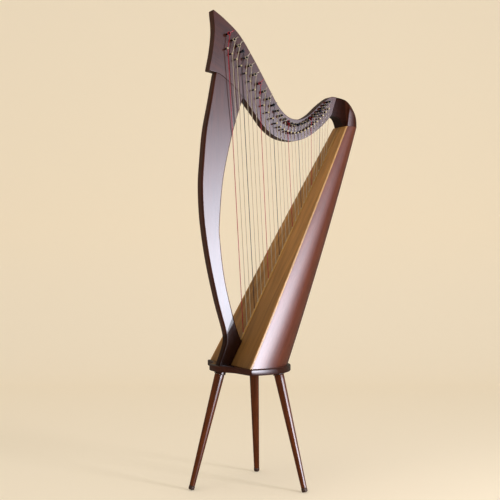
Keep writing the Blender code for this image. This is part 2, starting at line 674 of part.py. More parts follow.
def main():
    for obj in list(bpy.data.objects):
        bpy.data.objects.remove(obj)
    base_block = make_box()
    pillar = make_frame()
    make_strings()
    make_tuning_pins()
    make_stand(base_block, pillar)


main()
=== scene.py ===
"""The finished looks of a small folk harp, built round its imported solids, as a Blender add-on.

Metres throughout. +Z is up, +X runs from the pillar to the back of the soundbox, and the strings
are on the -Y side of the neck.
"""

import json
import math

import bmesh
import bpy
from bpy.props import FloatProperty, IntProperty, PointerProperty, StringProperty
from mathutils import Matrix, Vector


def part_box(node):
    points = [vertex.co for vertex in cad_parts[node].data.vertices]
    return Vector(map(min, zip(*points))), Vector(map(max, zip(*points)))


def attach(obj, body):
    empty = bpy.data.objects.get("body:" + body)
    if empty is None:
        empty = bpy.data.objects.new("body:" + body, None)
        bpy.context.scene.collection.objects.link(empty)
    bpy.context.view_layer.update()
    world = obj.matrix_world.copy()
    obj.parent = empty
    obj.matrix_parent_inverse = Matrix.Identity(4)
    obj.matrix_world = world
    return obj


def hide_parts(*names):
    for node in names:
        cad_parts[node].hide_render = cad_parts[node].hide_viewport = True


bl_info = {
    "name": "Folk harp",
    "version": (1, 0, 0),
    "blender": (4, 5, 0),
    "location": "3D View > Sidebar > Harp",
    "description": "Builds the visible pieces of a small folk harp on its stand",
    "category": "Object",
}

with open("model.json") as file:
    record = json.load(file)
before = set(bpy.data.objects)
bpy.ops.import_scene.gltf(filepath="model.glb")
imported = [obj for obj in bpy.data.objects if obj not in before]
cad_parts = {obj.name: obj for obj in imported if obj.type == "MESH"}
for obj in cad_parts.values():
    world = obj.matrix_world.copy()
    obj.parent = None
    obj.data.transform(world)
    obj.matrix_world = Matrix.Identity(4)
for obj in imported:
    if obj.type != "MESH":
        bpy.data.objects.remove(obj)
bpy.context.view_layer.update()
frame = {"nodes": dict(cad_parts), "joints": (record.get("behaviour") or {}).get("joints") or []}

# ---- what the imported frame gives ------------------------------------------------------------

PLATE_LOW, PLATE_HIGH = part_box("stand_plate")
STAND_TOP = PLATE_HIGH.z
BODY_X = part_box("pillar")[0].x
BODY_LENGTH = 0.505
BODY_HEIGHT = 1.0105
JOINTS = {joint["child"]: joint for joint in frame["joints"]}
PIN_BODIES = sorted(body for body in JOINTS if body.startswith("pin_"))
LEG_NAMES = ("front", "left", "right")

# ---- outlines of the frame, as shares of BODY_LENGTH and BODY_HEIGHT, the same as the solids' ---

NECK_FRONT = [(0.044, 0.829), (0.066, 0.885), (0.077, 0.942), (0.068, 0.998)]
NECK_TOP = [
    (0.072, 1.000), (0.141, 0.976), (0.234, 0.934), (0.327, 0.865), (0.422, 0.785), (0.485, 0.735),
    (0.550, 0.708), (0.616, 0.705), (0.681, 0.721), (0.746, 0.750), (0.814, 0.774), (0.860, 0.776),
]
SHOULDER_TOP = [
    (0.860, 0.776), (0.893, 0.771), (0.930, 0.759), (0.962, 0.738), (0.984, 0.714), (0.996, 0.689),
]
NECK_UNDER = [
    (0.826, 0.722), (0.780, 0.697), (0.713, 0.669), (0.648, 0.650), (0.582, 0.641), (0.519, 0.642),
    (0.453, 0.652), (0.390, 0.675), (0.327, 0.713), (0.257, 0.756),
]
SHOULDER_FRONT = [(0.826, 0.722), (0.864, 0.717), (0.882, 0.706), (0.897, 0.689)]
SEAM = [(0.257, 0.756), (0.190, 0.791), (0.111, 0.820), (0.044, 0.829)]
PILLAR_FRONT = [
    (0.086, 0.829), (0.056, 0.744), (0.024, 0.660), (0.008, 0.576), (0.000, 0.504), (0.010, 0.408),
    (0.044, 0.296), (0.095, 0.183), (0.143, 0.098), (0.150, 0.066), (0.134, 0.038), (0.106, 0.000),
]
PILLAR_BACK = [
    (0.245, 0.066), (0.202, 0.126), (0.143, 0.240), (0.113, 0.352), (0.111, 0.408), (0.131, 0.521),
    (0.178, 0.632), (0.218, 0.701), (0.254, 0.755),
]
BOARD_LOW = (0.183, 0.000)
BOARD_TOP = (0.897, 0.689)
BRIDGE_LINE = [
    (0.145, 0.891), (0.230, 0.843), (0.343, 0.756), (0.426, 0.700), (0.495, 0.672), (0.568, 0.663),
    (0.632, 0.672), (0.711, 0.699), (0.790, 0.739),
]
# Place along the body's length of some strings, bass first, from which the rest follow.
BRIDGE_PLACES = [(1, 0.143), (6, 0.283), (11, 0.424), (15, 0.519), (21, 0.650), (28, 0.788)]
BOARD_PLACES = [(1, 0.273), (4, 0.343), (8, 0.432), (11, 0.502), (18, 0.645), (28, 0.810)]

# ---- sizes that the solids fix ---------------------------------------------------------------

HALF_NECK = 0.016
BOX_WIDTH_LOW = 0.290
BOX_WIDTH_TOP = 0.080
BOX_BELLY = 0.005
BOX_SIDE = 0.0075
SHELL_WALL = 0.0045
BOARD_THICKNESS = 0.004
BOARD_GAP = 0.0003
PORTS = (0.20, 0.40, 0.59, 0.77)  # centres of the back openings, share of the box's height
PORT_WIDTHS = (0.088, 0.074, 0.058, 0.042)
PORT_LENGTH = 1.45  # of its width
PLATE_HALF_WIDTH = 0.157
PLATE_HALF_DEPTH = 0.158
PLATE_CORNERS = 0.024
PLATE_TONGUE = 0.049
STAND_X = PLATE_HIGH.x - PLATE_HALF_DEPTH + 0.048
PIN_RADIUS = 0.0032
STAND_OFF = 0.014  # string from the neck's side at the pins
PIN_STRING_END = 0.020  # tuning pin beyond the neck, string side
PIN_KEY_END = 0.026  # tuning pin beyond the neck, key side
PIN_SQUARE = 0.0045
PIN_SQUARE_LENGTH = 0.015
BRIDGE_RADIUS = 0.0023
BRIDGE_OUT = 0.021
RIB_THICKNESS = 0.003
PAD_RADIUS = 0.0165
PAD_THICKNESS = 0.009
TIP_LENGTH = 0.011
TIP_RADIUS = 0.0085
TIP_EDGE = 0.0025  # how much narrower the tip is on the floor
SINKING = 0.0043  # depth of the round pockets for the bolt and screw heads
SHOULDER_FALL = 0.034  # how far the shoulder drops from its middle to its sides
PILLAR_THICKNESS = (0.031, 0.036, 0.027)  # under the neck, at mid height, at the foot


class HarpSizes(bpy.types.PropertyGroup):
    """Sizes of the visible pieces that a maker would change."""

    frame_edge: FloatProperty(
        name="Frame edge", description="Rounding of the neck's and pillar's long edges",
        default=0.0027, min=0.0005, max=0.006, unit="LENGTH", subtype="DISTANCE")
    plate_edge: FloatProperty(
        name="Plate edge", description="Rounding of the stand plate's edges",
        default=0.0026, min=0.0005, max=0.006, unit="LENGTH", subtype="DISTANCE")
    bass_string: FloatProperty(
        name="Bass string", description="Thickness of the longest string",
        default=0.0021, min=0.0008, max=0.003, unit="LENGTH", subtype="DISTANCE")
    treble_string: FloatProperty(
        name="Treble string", description="Thickness of the shortest string",
        default=0.0012, min=0.0005, max=0.003, unit="LENGTH", subtype="DISTANCE")
    rib_width: FloatProperty(
        name="String rib", description="Width of the rib that the strings pass through",
        default=0.0110, min=0.006, max=0.016, unit="LENGTH", subtype="DISTANCE")
    leg_top: FloatProperty(
        name="Leg top", description="Thickness of a leg under the plate",
        default=0.0280, min=0.02, max=0.03, unit="LENGTH", subtype="DISTANCE")
    leg_foot: FloatProperty(
        name="Leg foot", description="Thickness of a leg at its foot",
        default=0.0160, min=0.012, max=0.02, unit="LENGTH", subtype="DISTANCE")
    windings: IntProperty(
        name="Windings", description="Turns of string on each tuning pin", default=2, min=1, max=6)


class HarpColours(bpy.types.PropertyGroup):
    """Colours of the finishes, as sRGB hex values."""

    frame_stain: StringProperty(
        name="Frame stain", description="Neck, shoulder and pillar", default="#431D0E")
    shell_stain: StringProperty(
        name="Shell stain", description="Round back of the soundbox", default="#6E3D2E")
    board_wood: StringProperty(
        name="Soundboard", description="Front of the soundbox", default="#B07C42")
    banding_wood: StringProperty(
        name="Banding", description="Strips along the soundboard's edges", default="#B98A4C")
    leg_stain: StringProperty(
        name="Leg stain", description="Turned legs of the stand", default="#5A2A0E")
    plate_stain: StringProperty(
        name="Plate stain", description="Plate of the stand", default="#3A1A10")
    bare_wood: StringProperty(
        name="Bare wood", description="Unfinished wood inside the soundbox", default="#C9A77C")
    clear_string: StringProperty(
        name="Clear string", description="Undyed nylon", default="#CDBFA4")
    red_string: StringProperty(
        name="Red string", description="Dyed nylon of each C", default="#B0182A")
    black_string: StringProperty(
        name="Black string", description="Dyed nylon of each F", default="#26242A")
    backdrop: StringProperty(
        name="Backdrop", description="Plain pale studio surroundings", default="#F2E6D0")


# ---- lines and positions ----------------------------------------------------------------------


def side(share):
    """World (x, z) of a point given as shares of the body's length and height."""
    return BODY_X + share[0] * BODY_LENGTH, STAND_TOP + share[1] * BODY_HEIGHT


BOX_LOW_X, BOX_LOW_Z = side(BOARD_LOW)
BOX_TOP_X, BOX_TOP_Z = side(BOARD_TOP)
LEAN = math.atan2(BOX_TOP_X - BOX_LOW_X, BOX_TOP_Z - BOX_LOW_Z)
UP_BOX = Vector((math.sin(LEAN), 0.0, math.cos(LEAN)))
OUT_OF_BOARD = Vector((-math.cos(LEAN), 0.0, math.sin(LEAN)))
ACROSS = Vector((0.0, 1.0, 0.0))


def box_share(z):
    return (z - BOX_LOW_Z) / (BOX_TOP_Z - BOX_LOW_Z)


def board_x(z):
    """Front of the soundboard at a height."""
    return BOX_LOW_X + box_share(z) * (BOX_TOP_X - BOX_LOW_X)


def half_width(z):
    f = box_share(z)
    straight = BOX_WIDTH_LOW + f * (BOX_WIDTH_TOP - BOX_WIDTH_LOW)
    return 0.5 * straight + 4.0 * BOX_BELLY * f * (1.0 - f)


def smooth_line(points, steps=10):
    """Points of a Catmull-Rom curve through the given ones."""
    first = [2 * points[0][k] - points[1][k] for k in (0, 1)]
    last = [2 * points[-1][k] - points[-2][k] for k in (0, 1)]
    ends = [first, *points, last]
    curve = []
    for a, b, c, d in zip(ends, ends[1:], ends[2:], ends[3:]):
        for step in range(steps):
            t = step / steps
            weights = (-0.5 * t + t * t - 0.5 * t**3, 1.0 - 2.5 * t * t + 1.5 * t**3,
                       0.5 * t + 2.0 * t * t - 1.5 * t**3, -0.5 * t * t + 0.5 * t**3)
            near = (a, b, c, d)
            curve.append(tuple(sum(w * p[k] for w, p in zip(weights, near)) for k in (0, 1)))
    return curve + [tuple(points[-1])]


def value_on(line, u, steps=12):
    """The second value of a smooth line at a first value, whichever way the line runs."""
    curve = sorted(smooth_line(line, steps))
    u = min(max(u, curve[0][0]), curve[-1][0])
    for (u0, v0), (u1, v1) in zip(curve, curve[1:]):
        if u <= u1:
            break
    return v0 + (v1 - v0) * (u - u0) / (u1 - u0)


def string_points():
    """Tuning pin, bridge pin and board points of each string, bass first, as world (x, z)."""
    points = []
    for number, body in enumerate(PIN_BODIES, 1):
        pin = JOINTS[body]["pos_m"]
        bridge = value_on(BRIDGE_PLACES, number)
        x = side((value_on(BOARD_PLACES, number), 0.0))[0]
        points.append(((pin[0], pin[2]), side((bridge, value_on(BRIDGE_LINE, bridge))),
                       (x, BOX_LOW_Z + (x - BOX_LOW_X) / math.tan(LEAN))))
    return points


def string_colour(number):
    """Red for each C and black for each F, as harps are strung; the lowest string is a C."""
    return {1: "red", 4: "black"}.get((number - 1) % 7 + 1, "clear")


def string_radius(number):
    sizes = bpy.context.scene.harp_sizes
    share = (number - 1) / (len(PIN_BODIES) - 1)
    return 0.5 * (sizes.bass_string + (sizes.treble_string - sizes.bass_string) * share)


# ---- meshes -----------------------------------------------------------------------------------

SHARP_ANGLE = 40.0  # degrees between faces past which an edge is drawn sharp
MERGE_DISTANCE = 1e-6


def new_object(name, bm, sharp=SHARP_ANGLE):
    """An object from a bmesh, faces outwards, smooth but for its sharp edges."""
    bmesh.ops.recalc_face_normals(bm, faces=bm.faces)
    mesh = bpy.data.meshes.new(name)
    bm.to_mesh(mesh)
    bm.free()
    if len(mesh.polygons):
        mesh.shade_smooth()
        mesh.set_sharp_from_angle(angle=math.radians(sharp))
    obj = bpy.data.objects.new(name, mesh)
    bpy.context.scene.collection.objects.link(obj)
    return obj


def lofted(name, rings, sharp=SHARP_ANGLE):
    """A closed skin through rings of equal numbers of points."""
    bm = bmesh.new()
    loops = [[bm.verts.new(p) for p in ring] for ring in rings]
    for near, far in zip(loops, loops[1:]):
        for k in range(len(near)):
            bm.faces.new((near[k - 1], near[k], far[k], far[k - 1]))
    bm.faces.new(loops[0])
    bm.faces.new(loops[-1])
    return new_object(name, bm, sharp)


def extruded(name, outline, direction):
    """A flat outline pushed along a direction."""
    bm = bmesh.new()
    face = bm.faces.new([bm.verts.new(p) for p in outline])
    made = bmesh.ops.extrude_face_region(bm, geom=[face])["geom"]
    far = [v for v in made if isinstance(v, bmesh.types.BMVert)]
    bmesh.ops.translate(bm, verts=far, vec=direction)
    return new_object(name, bm)


def paths(name, lines):
    """Open chains of edges, each point with its radius, for the swept tree."""
    bm = bmesh.new()
    layer = bm.verts.layers.float.new("thickness")
    for line in lines:
        before = None
        for point, radius in line:
            vert = bm.verts.new(point)
            vert[layer] = radius
            if before:
                bm.edges.new((before, vert))
            before = vert
    return new_object(name, bm)


def baked(obj):
    """The object with its modifiers made into a plain mesh."""
    graph = bpy.context.evaluated_depsgraph_get()
    mesh = bpy.data.meshes.new_from_object(obj.evaluated_get(graph), preserve_all_data_layers=True,
                                           depsgraph=graph)
    old = obj.data
    obj.modifiers.clear()
    obj.data = mesh
    bpy.data.meshes.remove(old)
    return obj


def rounded(obj, width, segments=4, angle=SHARP_ANGLE):
    made = obj.modifiers.new("edges", "BEVEL")
    made.width = width
    made.segments = segments
    made.limit_method = "ANGLE"
    made.angle_limit = math.radians(angle)
    made.harden_normals = True
    return baked(obj)


def grain_along(obj, along, origin=(0.0, 0.0, 0.0)):
    """Stores each point's place in the piece's own directions, its first one along the grain."""
    along = Vector(along).normalized()
    aside = ACROSS if abs(along.y) < 0.9 else Vector((0.0, 0.0, 1.0))
    aside = (aside - aside.dot(along) * along).normalized()
    third = along.cross(aside)
    mesh = obj.data
    stored = mesh.attributes.get("grain") or mesh.attributes.new("grain", "FLOAT_VECTOR", "POINT")
    values = []
    for vert in mesh.vertices:
        place = vert.co - Vector(origin)
        values += [place.dot(along), place.dot(aside), place.dot(third)]
    stored.data.foreach_set("vector", values)
    return obj


def dressed(obj, body, slot, finish, *nodes):
    """Gives a finished piece its material and body, and hides the solids it stands for. Its slot
    is not used.
    """
    obj.data.materials.clear()
    obj.data.materials.append(finish)
    if nodes:
        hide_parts(*nodes)
    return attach(obj, body)


# ---- node trees for shapes --------------------------------------------------------------------


def add_node(tree, kind, inputs=None, **settings):
    """A node with its settings. An input is given as a value, or as the socket that feeds it."""
    node = tree.nodes.new(kind)
    for key, value in settings.items():
        setattr(node, key, value)
    for key, value in (inputs or {}).items():
        if isinstance(value, bpy.types.NodeSocket):
            tree.links.new(value, node.inputs[key])
        else:
            node.inputs[key].default_value = value
    return node


def shape_tree(name, sockets):
    """An empty Geometry Nodes tree with named inputs; returns it with its input node."""
    tree = bpy.data.node_groups.new(name, "GeometryNodeTree")
    tree.interface.new_socket("Geometry", in_out="INPUT", socket_type="NodeSocketGeometry")
    for title, kind, default in sockets:
        socket = tree.interface.new_socket(title, in_out="INPUT", socket_type=kind)
        if default is not None:
            socket.default_value = default
    tree.interface.new_socket("Geometry", in_out="OUTPUT", socket_type="NodeSocketGeometry")
    return tree, tree.nodes.new("NodeGroupInput")


def close_tree(tree, given, geometry):
    """Ends a tree with realised instances and its material."""
    real = add_node(tree, "GeometryNodeRealizeInstances", {"Geometry": geometry})
    painted = add_node(tree, "GeometryNodeSetMaterial",
                       {"Geometry": real.outputs[0], "Material": given.outputs["Material"]})
    add_node(tree, "NodeGroupOutput", {"Geometry": painted.outputs[0]})
    return tree


def swept_tree():
    """A round section along each chain of edges, as wide as the chain's own thickness."""
    tree, given = shape_tree("round_section_along_path", [
        ("Sides", "NodeSocketInt", 8), ("Material", "NodeSocketMaterial", None)])
    curve = add_node(tree, "GeometryNodeMeshToCurve", {"Mesh": given.outputs["Geometry"]})
    width = add_node(tree, "GeometryNodeInputNamedAttribute", {"Name": "thickness"},
                     data_type="FLOAT")
    section = add_node(tree, "GeometryNodeCurvePrimitiveCircle",
                       {"Resolution": given.outputs["Sides"], "Radius": 1.0})
    skin = add_node(tree, "GeometryNodeCurveToMesh", {
        "Curve": curve.outputs[0], "Profile Curve": section.outputs[0],
        "Scale": width.outputs["Attribute"], "Fill Caps": True})
    return close_tree(tree, given, skin.outputs[0])


def repeated_tree():
    """One pattern piece set on every point."""
    tree, given = shape_tree("pattern_piece_on_points", [
        ("Pattern", "NodeSocketObject", None), ("Material", "NodeSocketMaterial", None)])
    pattern = add_node(tree, "GeometryNodeObjectInfo", {"Object": given.outputs["Pattern"]})
    copies = add_node(tree, "GeometryNodeInstanceOnPoints", {
        "Points": given.outputs["Geometry"], "Instance": pattern.outputs["Geometry"]})
    return close_tree(tree, given, copies.outputs[0])


TREES = {}  # each shape tree, by the name of its maker


def shaped(obj, maker, sharp=SHARP_ANGLE, **values):
    """Runs a shape tree on an object and keeps the result as its plain mesh."""
    name = maker.__name__
    if name not in TREES:
        TREES[name] = maker()
    tree = TREES[name]
    modifier = obj.modifiers.new("shape", "NODES")
    modifier.node_group = tree
    for item in tree.interface.items_tree:
        key = item.name.lower().replace(" ", "_")
        if item.in_out == "INPUT" and key in values:
            modifier[item.identifier] = values[key]
    baked(obj)
    bm = bmesh.new()
    bm.from_mesh(obj.data)
    bmesh.ops.remove_doubles(bm, verts=bm.verts, dist=MERGE_DISTANCE)
    bmesh.ops.recalc_face_normals(bm, faces=bm.faces)
    bm.to_mesh(obj.data)
    bm.free()
    obj.data.shade_smooth()
    obj.data.set_sharp_from_angle(angle=math.radians(sharp))
    return obj


# ---- materials --------------------------------------------------------------------------------


def linear(colour):
    """Linear colour of an sRGB hex value."""
    parts = [int(colour[k:k + 2], 16) / 255.0 for k in (1, 3, 5)]
    return (*[p / 12.92 if p <= 0.04045 else ((p + 0.055) / 1.055) ** 2.4 for p in parts], 1.0)


def new_material(name):
    """An empty material: returns it, its tree and its shader."""
    made = bpy.data.materials.new(name)
    made.use_nodes = True
    tree = made.node_tree
    tree.nodes.clear()
    shader = add_node(tree, "ShaderNodeBsdfPrincipled")
    add_node(tree, "ShaderNodeOutputMaterial", {"Surface": shader.outputs[0]})
    return made, tree, shader


STREAK_STRETCH = 28.0  # how many times longer than wide a pore streak is
FIGURE_STRETCH = 9.0  # the same for the broad figure
HIDDEN_SHINE = 0.4  # how much of the wood's own shine full lacquer hides


def wood(name, colour, light=1.35, streak_mm=2.2, figure_mm=14.0, gloss=0.32, lacquer=1.0,
         lacquer_blur=0.03, pore_depth_mm=0.03, ripple_mm=0.04, attribute=True,
         turn=(0.0, 0.0, 0.0), painted_shade_below=None):
    """Stained or bare wood. Grain runs along the piece, streaks and figure across it.

    light is how much paler than the colour its palest streak is, and how much darker its darkest.
    painted_shade_below gives (direction, start, end, share) for painted shade: going back along
    the direction from end to start, the colour and the lacquer fall to that share of themselves,
    standing in for shade and a dark reflection.
    """
    made, tree, shader = new_material(name)
    if attribute:
        place = add_node(tree, "ShaderNodeAttribute", attribute_name="grain").outputs["Vector"]
    else:
        place = add_node(tree, "ShaderNodeTexCoord").outputs["Object"]
        place = add_node(tree, "ShaderNodeMapping", {"Vector": place, "Rotation": turn}).outputs[0]
    per_m = 1000.0
    streak, figure = per_m / streak_mm, per_m / figure_mm
    fine = add_node(tree, "ShaderNodeMapping", {
        "Vector": place, "Scale": (streak / STREAK_STRETCH, streak, streak)})
    broad = add_node(tree, "ShaderNodeMapping", {
        "Vector": place, "Scale": (figure / FIGURE_STRETCH, figure, figure)})
    pores = add_node(tree, "ShaderNodeTexNoise", {
        "Vector": fine.outputs[0], "Scale": 1.0, "Detail": 3.0, "Roughness": 0.6})
    flame = add_node(tree, "ShaderNodeTexNoise", {
        "Vector": broad.outputs[0], "Scale": 1.0, "Detail": 2.0, "Roughness": 0.5,
        "Distortion": 0.4})
    both = add_node(tree, "ShaderNodeMath", {0: pores.outputs[0], 1: flame.outputs[0]},
                    operation="ADD")
    spread = add_node(tree, "ShaderNodeMapRange", {
        "Value": both.outputs[0], "From Min": 0.72, "From Max": 1.28})
    base = linear(colour)
    dark = tuple(c / light for c in base[:3]) + (1.0,)
    pale = tuple(min(c * light, 1.0) for c in base[:3]) + (1.0,)
    tone = add_node(tree, "ShaderNodeMix", {0: spread.outputs[0]}, data_type="RGBA")
    tone.inputs[6].default_value = dark
    tone.inputs[7].default_value = pale
    # Painted shade: below the line the colour darkens and the lacquer's gloss fades, standing in
    # for shade and a dark reflection.
    if painted_shade_below:
        direction, start, end, share = painted_shade_below
        dot = add_node(tree, "ShaderNodeVectorMath", {0: place, 1: direction},
                       operation="DOT_PRODUCT")
        level = add_node(tree, "ShaderNodeMapRange", {
            "Value": dot.outputs["Value"], "From Min": start, "From Max": end, "To Min": share})
        shade = add_node(tree, "ShaderNodeVectorMath",
                         {0: tone.outputs[2], "Scale": level.outputs[0]}, operation="SCALE")
        tree.links.new(shade.outputs[0], shader.inputs["Base Color"])
        coat = add_node(tree, "ShaderNodeMath", {0: level.outputs[0], 1: lacquer},
                        operation="MULTIPLY")
        tree.links.new(coat.outputs[0], shader.inputs["Coat Weight"])
    else:
        tree.links.new(tone.outputs[2], shader.inputs["Base Color"])
        shader.inputs["Coat Weight"].default_value = lacquer
    rough = add_node(tree, "ShaderNodeMapRange", {
        "Value": pores.outputs[0], "From Min": 0.3, "From Max": 0.7, "To Min": gloss - 0.05,
        "To Max": gloss + 0.08})
    tree.links.new(rough.outputs[0], shader.inputs["Roughness"])
    shader.inputs["IOR"].default_value = 1.5
    shader.inputs["Specular IOR Level"].default_value = 0.5 - HIDDEN_SHINE * lacquer
    shader.inputs["Coat Roughness"].default_value = lacquer_blur
    shader.inputs["Coat IOR"].default_value = 1.52
    grooves = add_node(tree, "ShaderNodeBump", {
        "Height": pores.outputs[0], "Strength": 1.0, "Distance": pore_depth_mm / per_m})
    tree.links.new(grooves.outputs[0], shader.inputs["Normal"])
    if lacquer:
        # Sprayed lacquer sinks a little over the grain, which makes the gloss ripple.
        wave = add_node(tree, "ShaderNodeTexNoise", {
            "Vector": broad.outputs[0], "Scale": 0.35, "Detail": 1.0})
        ripple = add_node(tree, "ShaderNodeBump", {
            "Height": wave.outputs[0], "Strength": 1.0, "Distance": ripple_mm / per_m})
        tree.links.new(ripple.outputs[0], shader.inputs["Coat Normal"])
    return made


def clouded(name, colour, cloud_mm, detail, dark):
    """A new material whose colour drifts, over a fine noise, between a darker tone and its own.

    Returns it with its tree, its shader and the noise.
    """
    made, tree, shader = new_material(name)
    place = add_node(tree, "ShaderNodeTexCoord").outputs["Object"]
    cloud = add_node(tree, "ShaderNodeTexNoise", {
        "Vector": place, "Scale": 1000.0 / cloud_mm, "Detail": detail})
    tone = add_node(tree, "ShaderNodeMix", {0: cloud.outputs[0]}, data_type="RGBA")
    base = linear(colour)
    tone.inputs[6].default_value = tuple(dark * c for c in base[:3]) + (1.0,)
    tone.inputs[7].default_value = base
    tree.links.new(tone.outputs[2], shader.inputs["Base Color"])
    return made, tree, shader, cloud.outputs[0]


def worn(tree, shader, cloud, low, high):
    """Roughness that follows a noise between two values."""
    rough = add_node(tree, "ShaderNodeMapRange", {"Value": cloud, "To Min": low, "To Max": high})
    tree.links.new(rough.outputs[0], shader.inputs["Roughness"])


def metal(name, colour, roughness):
    """Bare or plated metal, its roughness broken up by fine wear."""
    made, tree, shader, wear = clouded(name, colour, 2.4, 4.0, 0.8)
    worn(tree, shader, wear, 0.7 * roughness, 1.4 * roughness)
    shader.inputs["Metallic"].default_value = 1.0
    return made


def nylon(name, colour, clear=0.25):
    """Extruded nylon monofilament, a little see-through and softly shiny."""
    made, _, shader, _ = clouded(name, colour, 16.7, 2.0, 0.82)
    shader.inputs["Roughness"].default_value = 0.28
    shader.inputs["IOR"].default_value = 1.53
    shader.inputs["Transmission Weight"].default_value = clear
    return made


def bone(name, colour):
    """Turned bone: warm white, faintly clouded, with a soft polish."""
    made, _, shader, _ = clouded(name, colour, 2.86, 2.0, 0.7)
    shader.inputs["Roughness"].default_value = 0.38
    return made


def rubber(name, colour):
    """Moulded rubber: matt, faintly mottled."""
    made, tree, shader, mottle = clouded(name, colour, 1.43, 3.0, 0.7)
    worn(tree, shader, mottle, 0.5, 0.8)
    return made


FINISHES = {}


BOARD_SHADE_REACH = 0.42  # how far up the soundboard its painted shade at the foot reaches
BOARD_SHADE_SHARE = 0.46  # what the painted shade leaves of its colour at the foot
FOOT_SHADE_SHARE = 0.35  # the same for the painted shade at the pillar's foot
COVE_SHADE_SHARE = 0.38  # and for the painted shade in the shoulder's cove


def finish(name):
    """The harp's materials, each made when a piece first asks for it."""
    if name in FINISHES:
        return FINISHES[name]
    colours = bpy.context.scene.harp_colours
    lean = (0.0, 0.5 * math.pi - LEAN, 0.0)
    board_foot = Vector((BOX_LOW_X, 0.0, BOX_LOW_Z)).dot(UP_BOX)
    makers = {
        # Mahogany, stained dark and sprayed with gloss lacquer: deep brown under a clear mirror.
        "frame": lambda: wood("dark_stained_mahogany", colours.frame_stain),
        # The same, with painted shade at its foot: darker and duller below a slanting line,
        # standing in for shade and a dark reflection.
        "pillar": lambda: wood(
            "dark_stained_mahogany_pillar", colours.frame_stain,
            painted_shade_below=(FOOT_SHADE_SLANT, FOOT_SHADE_LINE - 0.002, FOOT_SHADE_LINE + 0.002, FOOT_SHADE_SHARE)),
        # The same, with painted shade in the cove: nearly black there, up to the crease, and brown
        # behind it.
        "shoulder": lambda: wood(
            "dark_stained_mahogany_shoulder", colours.frame_stain,
            painted_shade_below=(ALONG_BODY, COVE_END - 0.001, COVE_END + 0.002, COVE_SHADE_SHARE)),
        # The same timber in a redder stain, bent or staved into the back.
        "shell": lambda: wood("red_brown_mahogany_shell", colours.shell_stain, light=1.22),
        # Quarter-sawn softwood: straight growth lines under a satin varnish, with painted shade
        # darkening it low down.
        "board": lambda: wood("straight_grained_soundboard", colours.board_wood, light=1.42,
                              streak_mm=3.2, figure_mm=22.0, gloss=0.42, lacquer=0.35,
                              lacquer_blur=0.22, attribute=False, turn=lean,
                              painted_shade_below=((1.0, 0.0, 0.0), board_foot,
                                          board_foot + BOARD_SHADE_REACH, BOARD_SHADE_SHARE)),
        # Pale strips with little figure, under the same varnish.
        "banding": lambda: wood("pale_hardwood_banding", colours.banding_wood, light=1.2,
                                gloss=0.4, lacquer=0.4, lacquer_blur=0.2, attribute=False,
                                turn=lean),
        "rib": lambda: wood("pale_hardwood_rib", colours.banding_wood, light=1.25, gloss=0.45,
                            lacquer=0.3, lacquer_blur=0.25),
        # Turned legs: finer streaks in an orange-brown stain, one bright line down each.
        "leg": lambda: wood("turned_mahogany_leg", colours.leg_stain, light=1.45, streak_mm=1.6,
                            figure_mm=9.0),
        # The plate: the darkest stain, its edge picked out by the gloss.
        "plate": lambda: wood("dark_stained_plate", colours.plate_stain, light=1.3),
        # Planed softwood left bare where nobody sees it.
        "bare": lambda: wood("bare_planed_softwood", colours.bare_wood, light=1.25, gloss=0.62,
                             lacquer=0.0, pore_depth_mm=0.08, attribute=False, turn=lean),
        # Steel blued in oil: near black, with a soft shine.
        "pin": lambda: metal("oil_blackened_steel", "#1B1A1C", 0.34),
        # Pale dots on the dark pins: on the bridge pins' ends this pale bone is a painted
        # highlight, standing in for the shine of their caps; the rib's eyelets take the same bone.
        "tip": lambda: bone("polished_bone", "#D8C8A2"),
        # Zinc plate: a plain bright grey on the fixings.
        "zinc": lambda: metal("zinc_plated_steel", "#B4B3AE", 0.36),
        # Nylon: cream, red and black lines that catch a little light.
        "clear": lambda: nylon("undyed_nylon", colours.clear_string),
        "red": lambda: nylon("red_dyed_nylon", colours.red_string, 0.1),
        "black": lambda: nylon("black_dyed_nylon", colours.black_string, 0.0),
        # A brown rubber tip, matt against the gloss of the leg.
        "rubber": lambda: rubber("moulded_brown_rubber", "#4A2E20"),
    }
    FINISHES[name] = makers[name]()
    return FINISHES[name]


# ---- the soundbox -----------------------------------------------------------------------------


def back_arc(z, inset, start_depth, steps):
    """Plan points from the -Y side round the back to the +Y side, inset from the outside."""
    x = board_x(z)
    wide, deep = half_width(z) - inset, (half_width(z) - inset) / math.cos(LEAN)
    past = max((start_depth - BOX_SIDE) / deep, 0.0)
    edge = wide * math.sqrt(1.0 - past * past)
    first = math.asin(past) + 0.01
    points = [(x + start_depth, -edge, z)]
    for k in range(steps + 1):
        angle = -0.5 * math.pi + first + (math.pi - 2.0 * first) * k / steps
        points.append((x + BOX_SIDE + deep * math.cos(angle), wide * math.sin(angle), z))
    return points + [(x + start_depth, edge, z)]


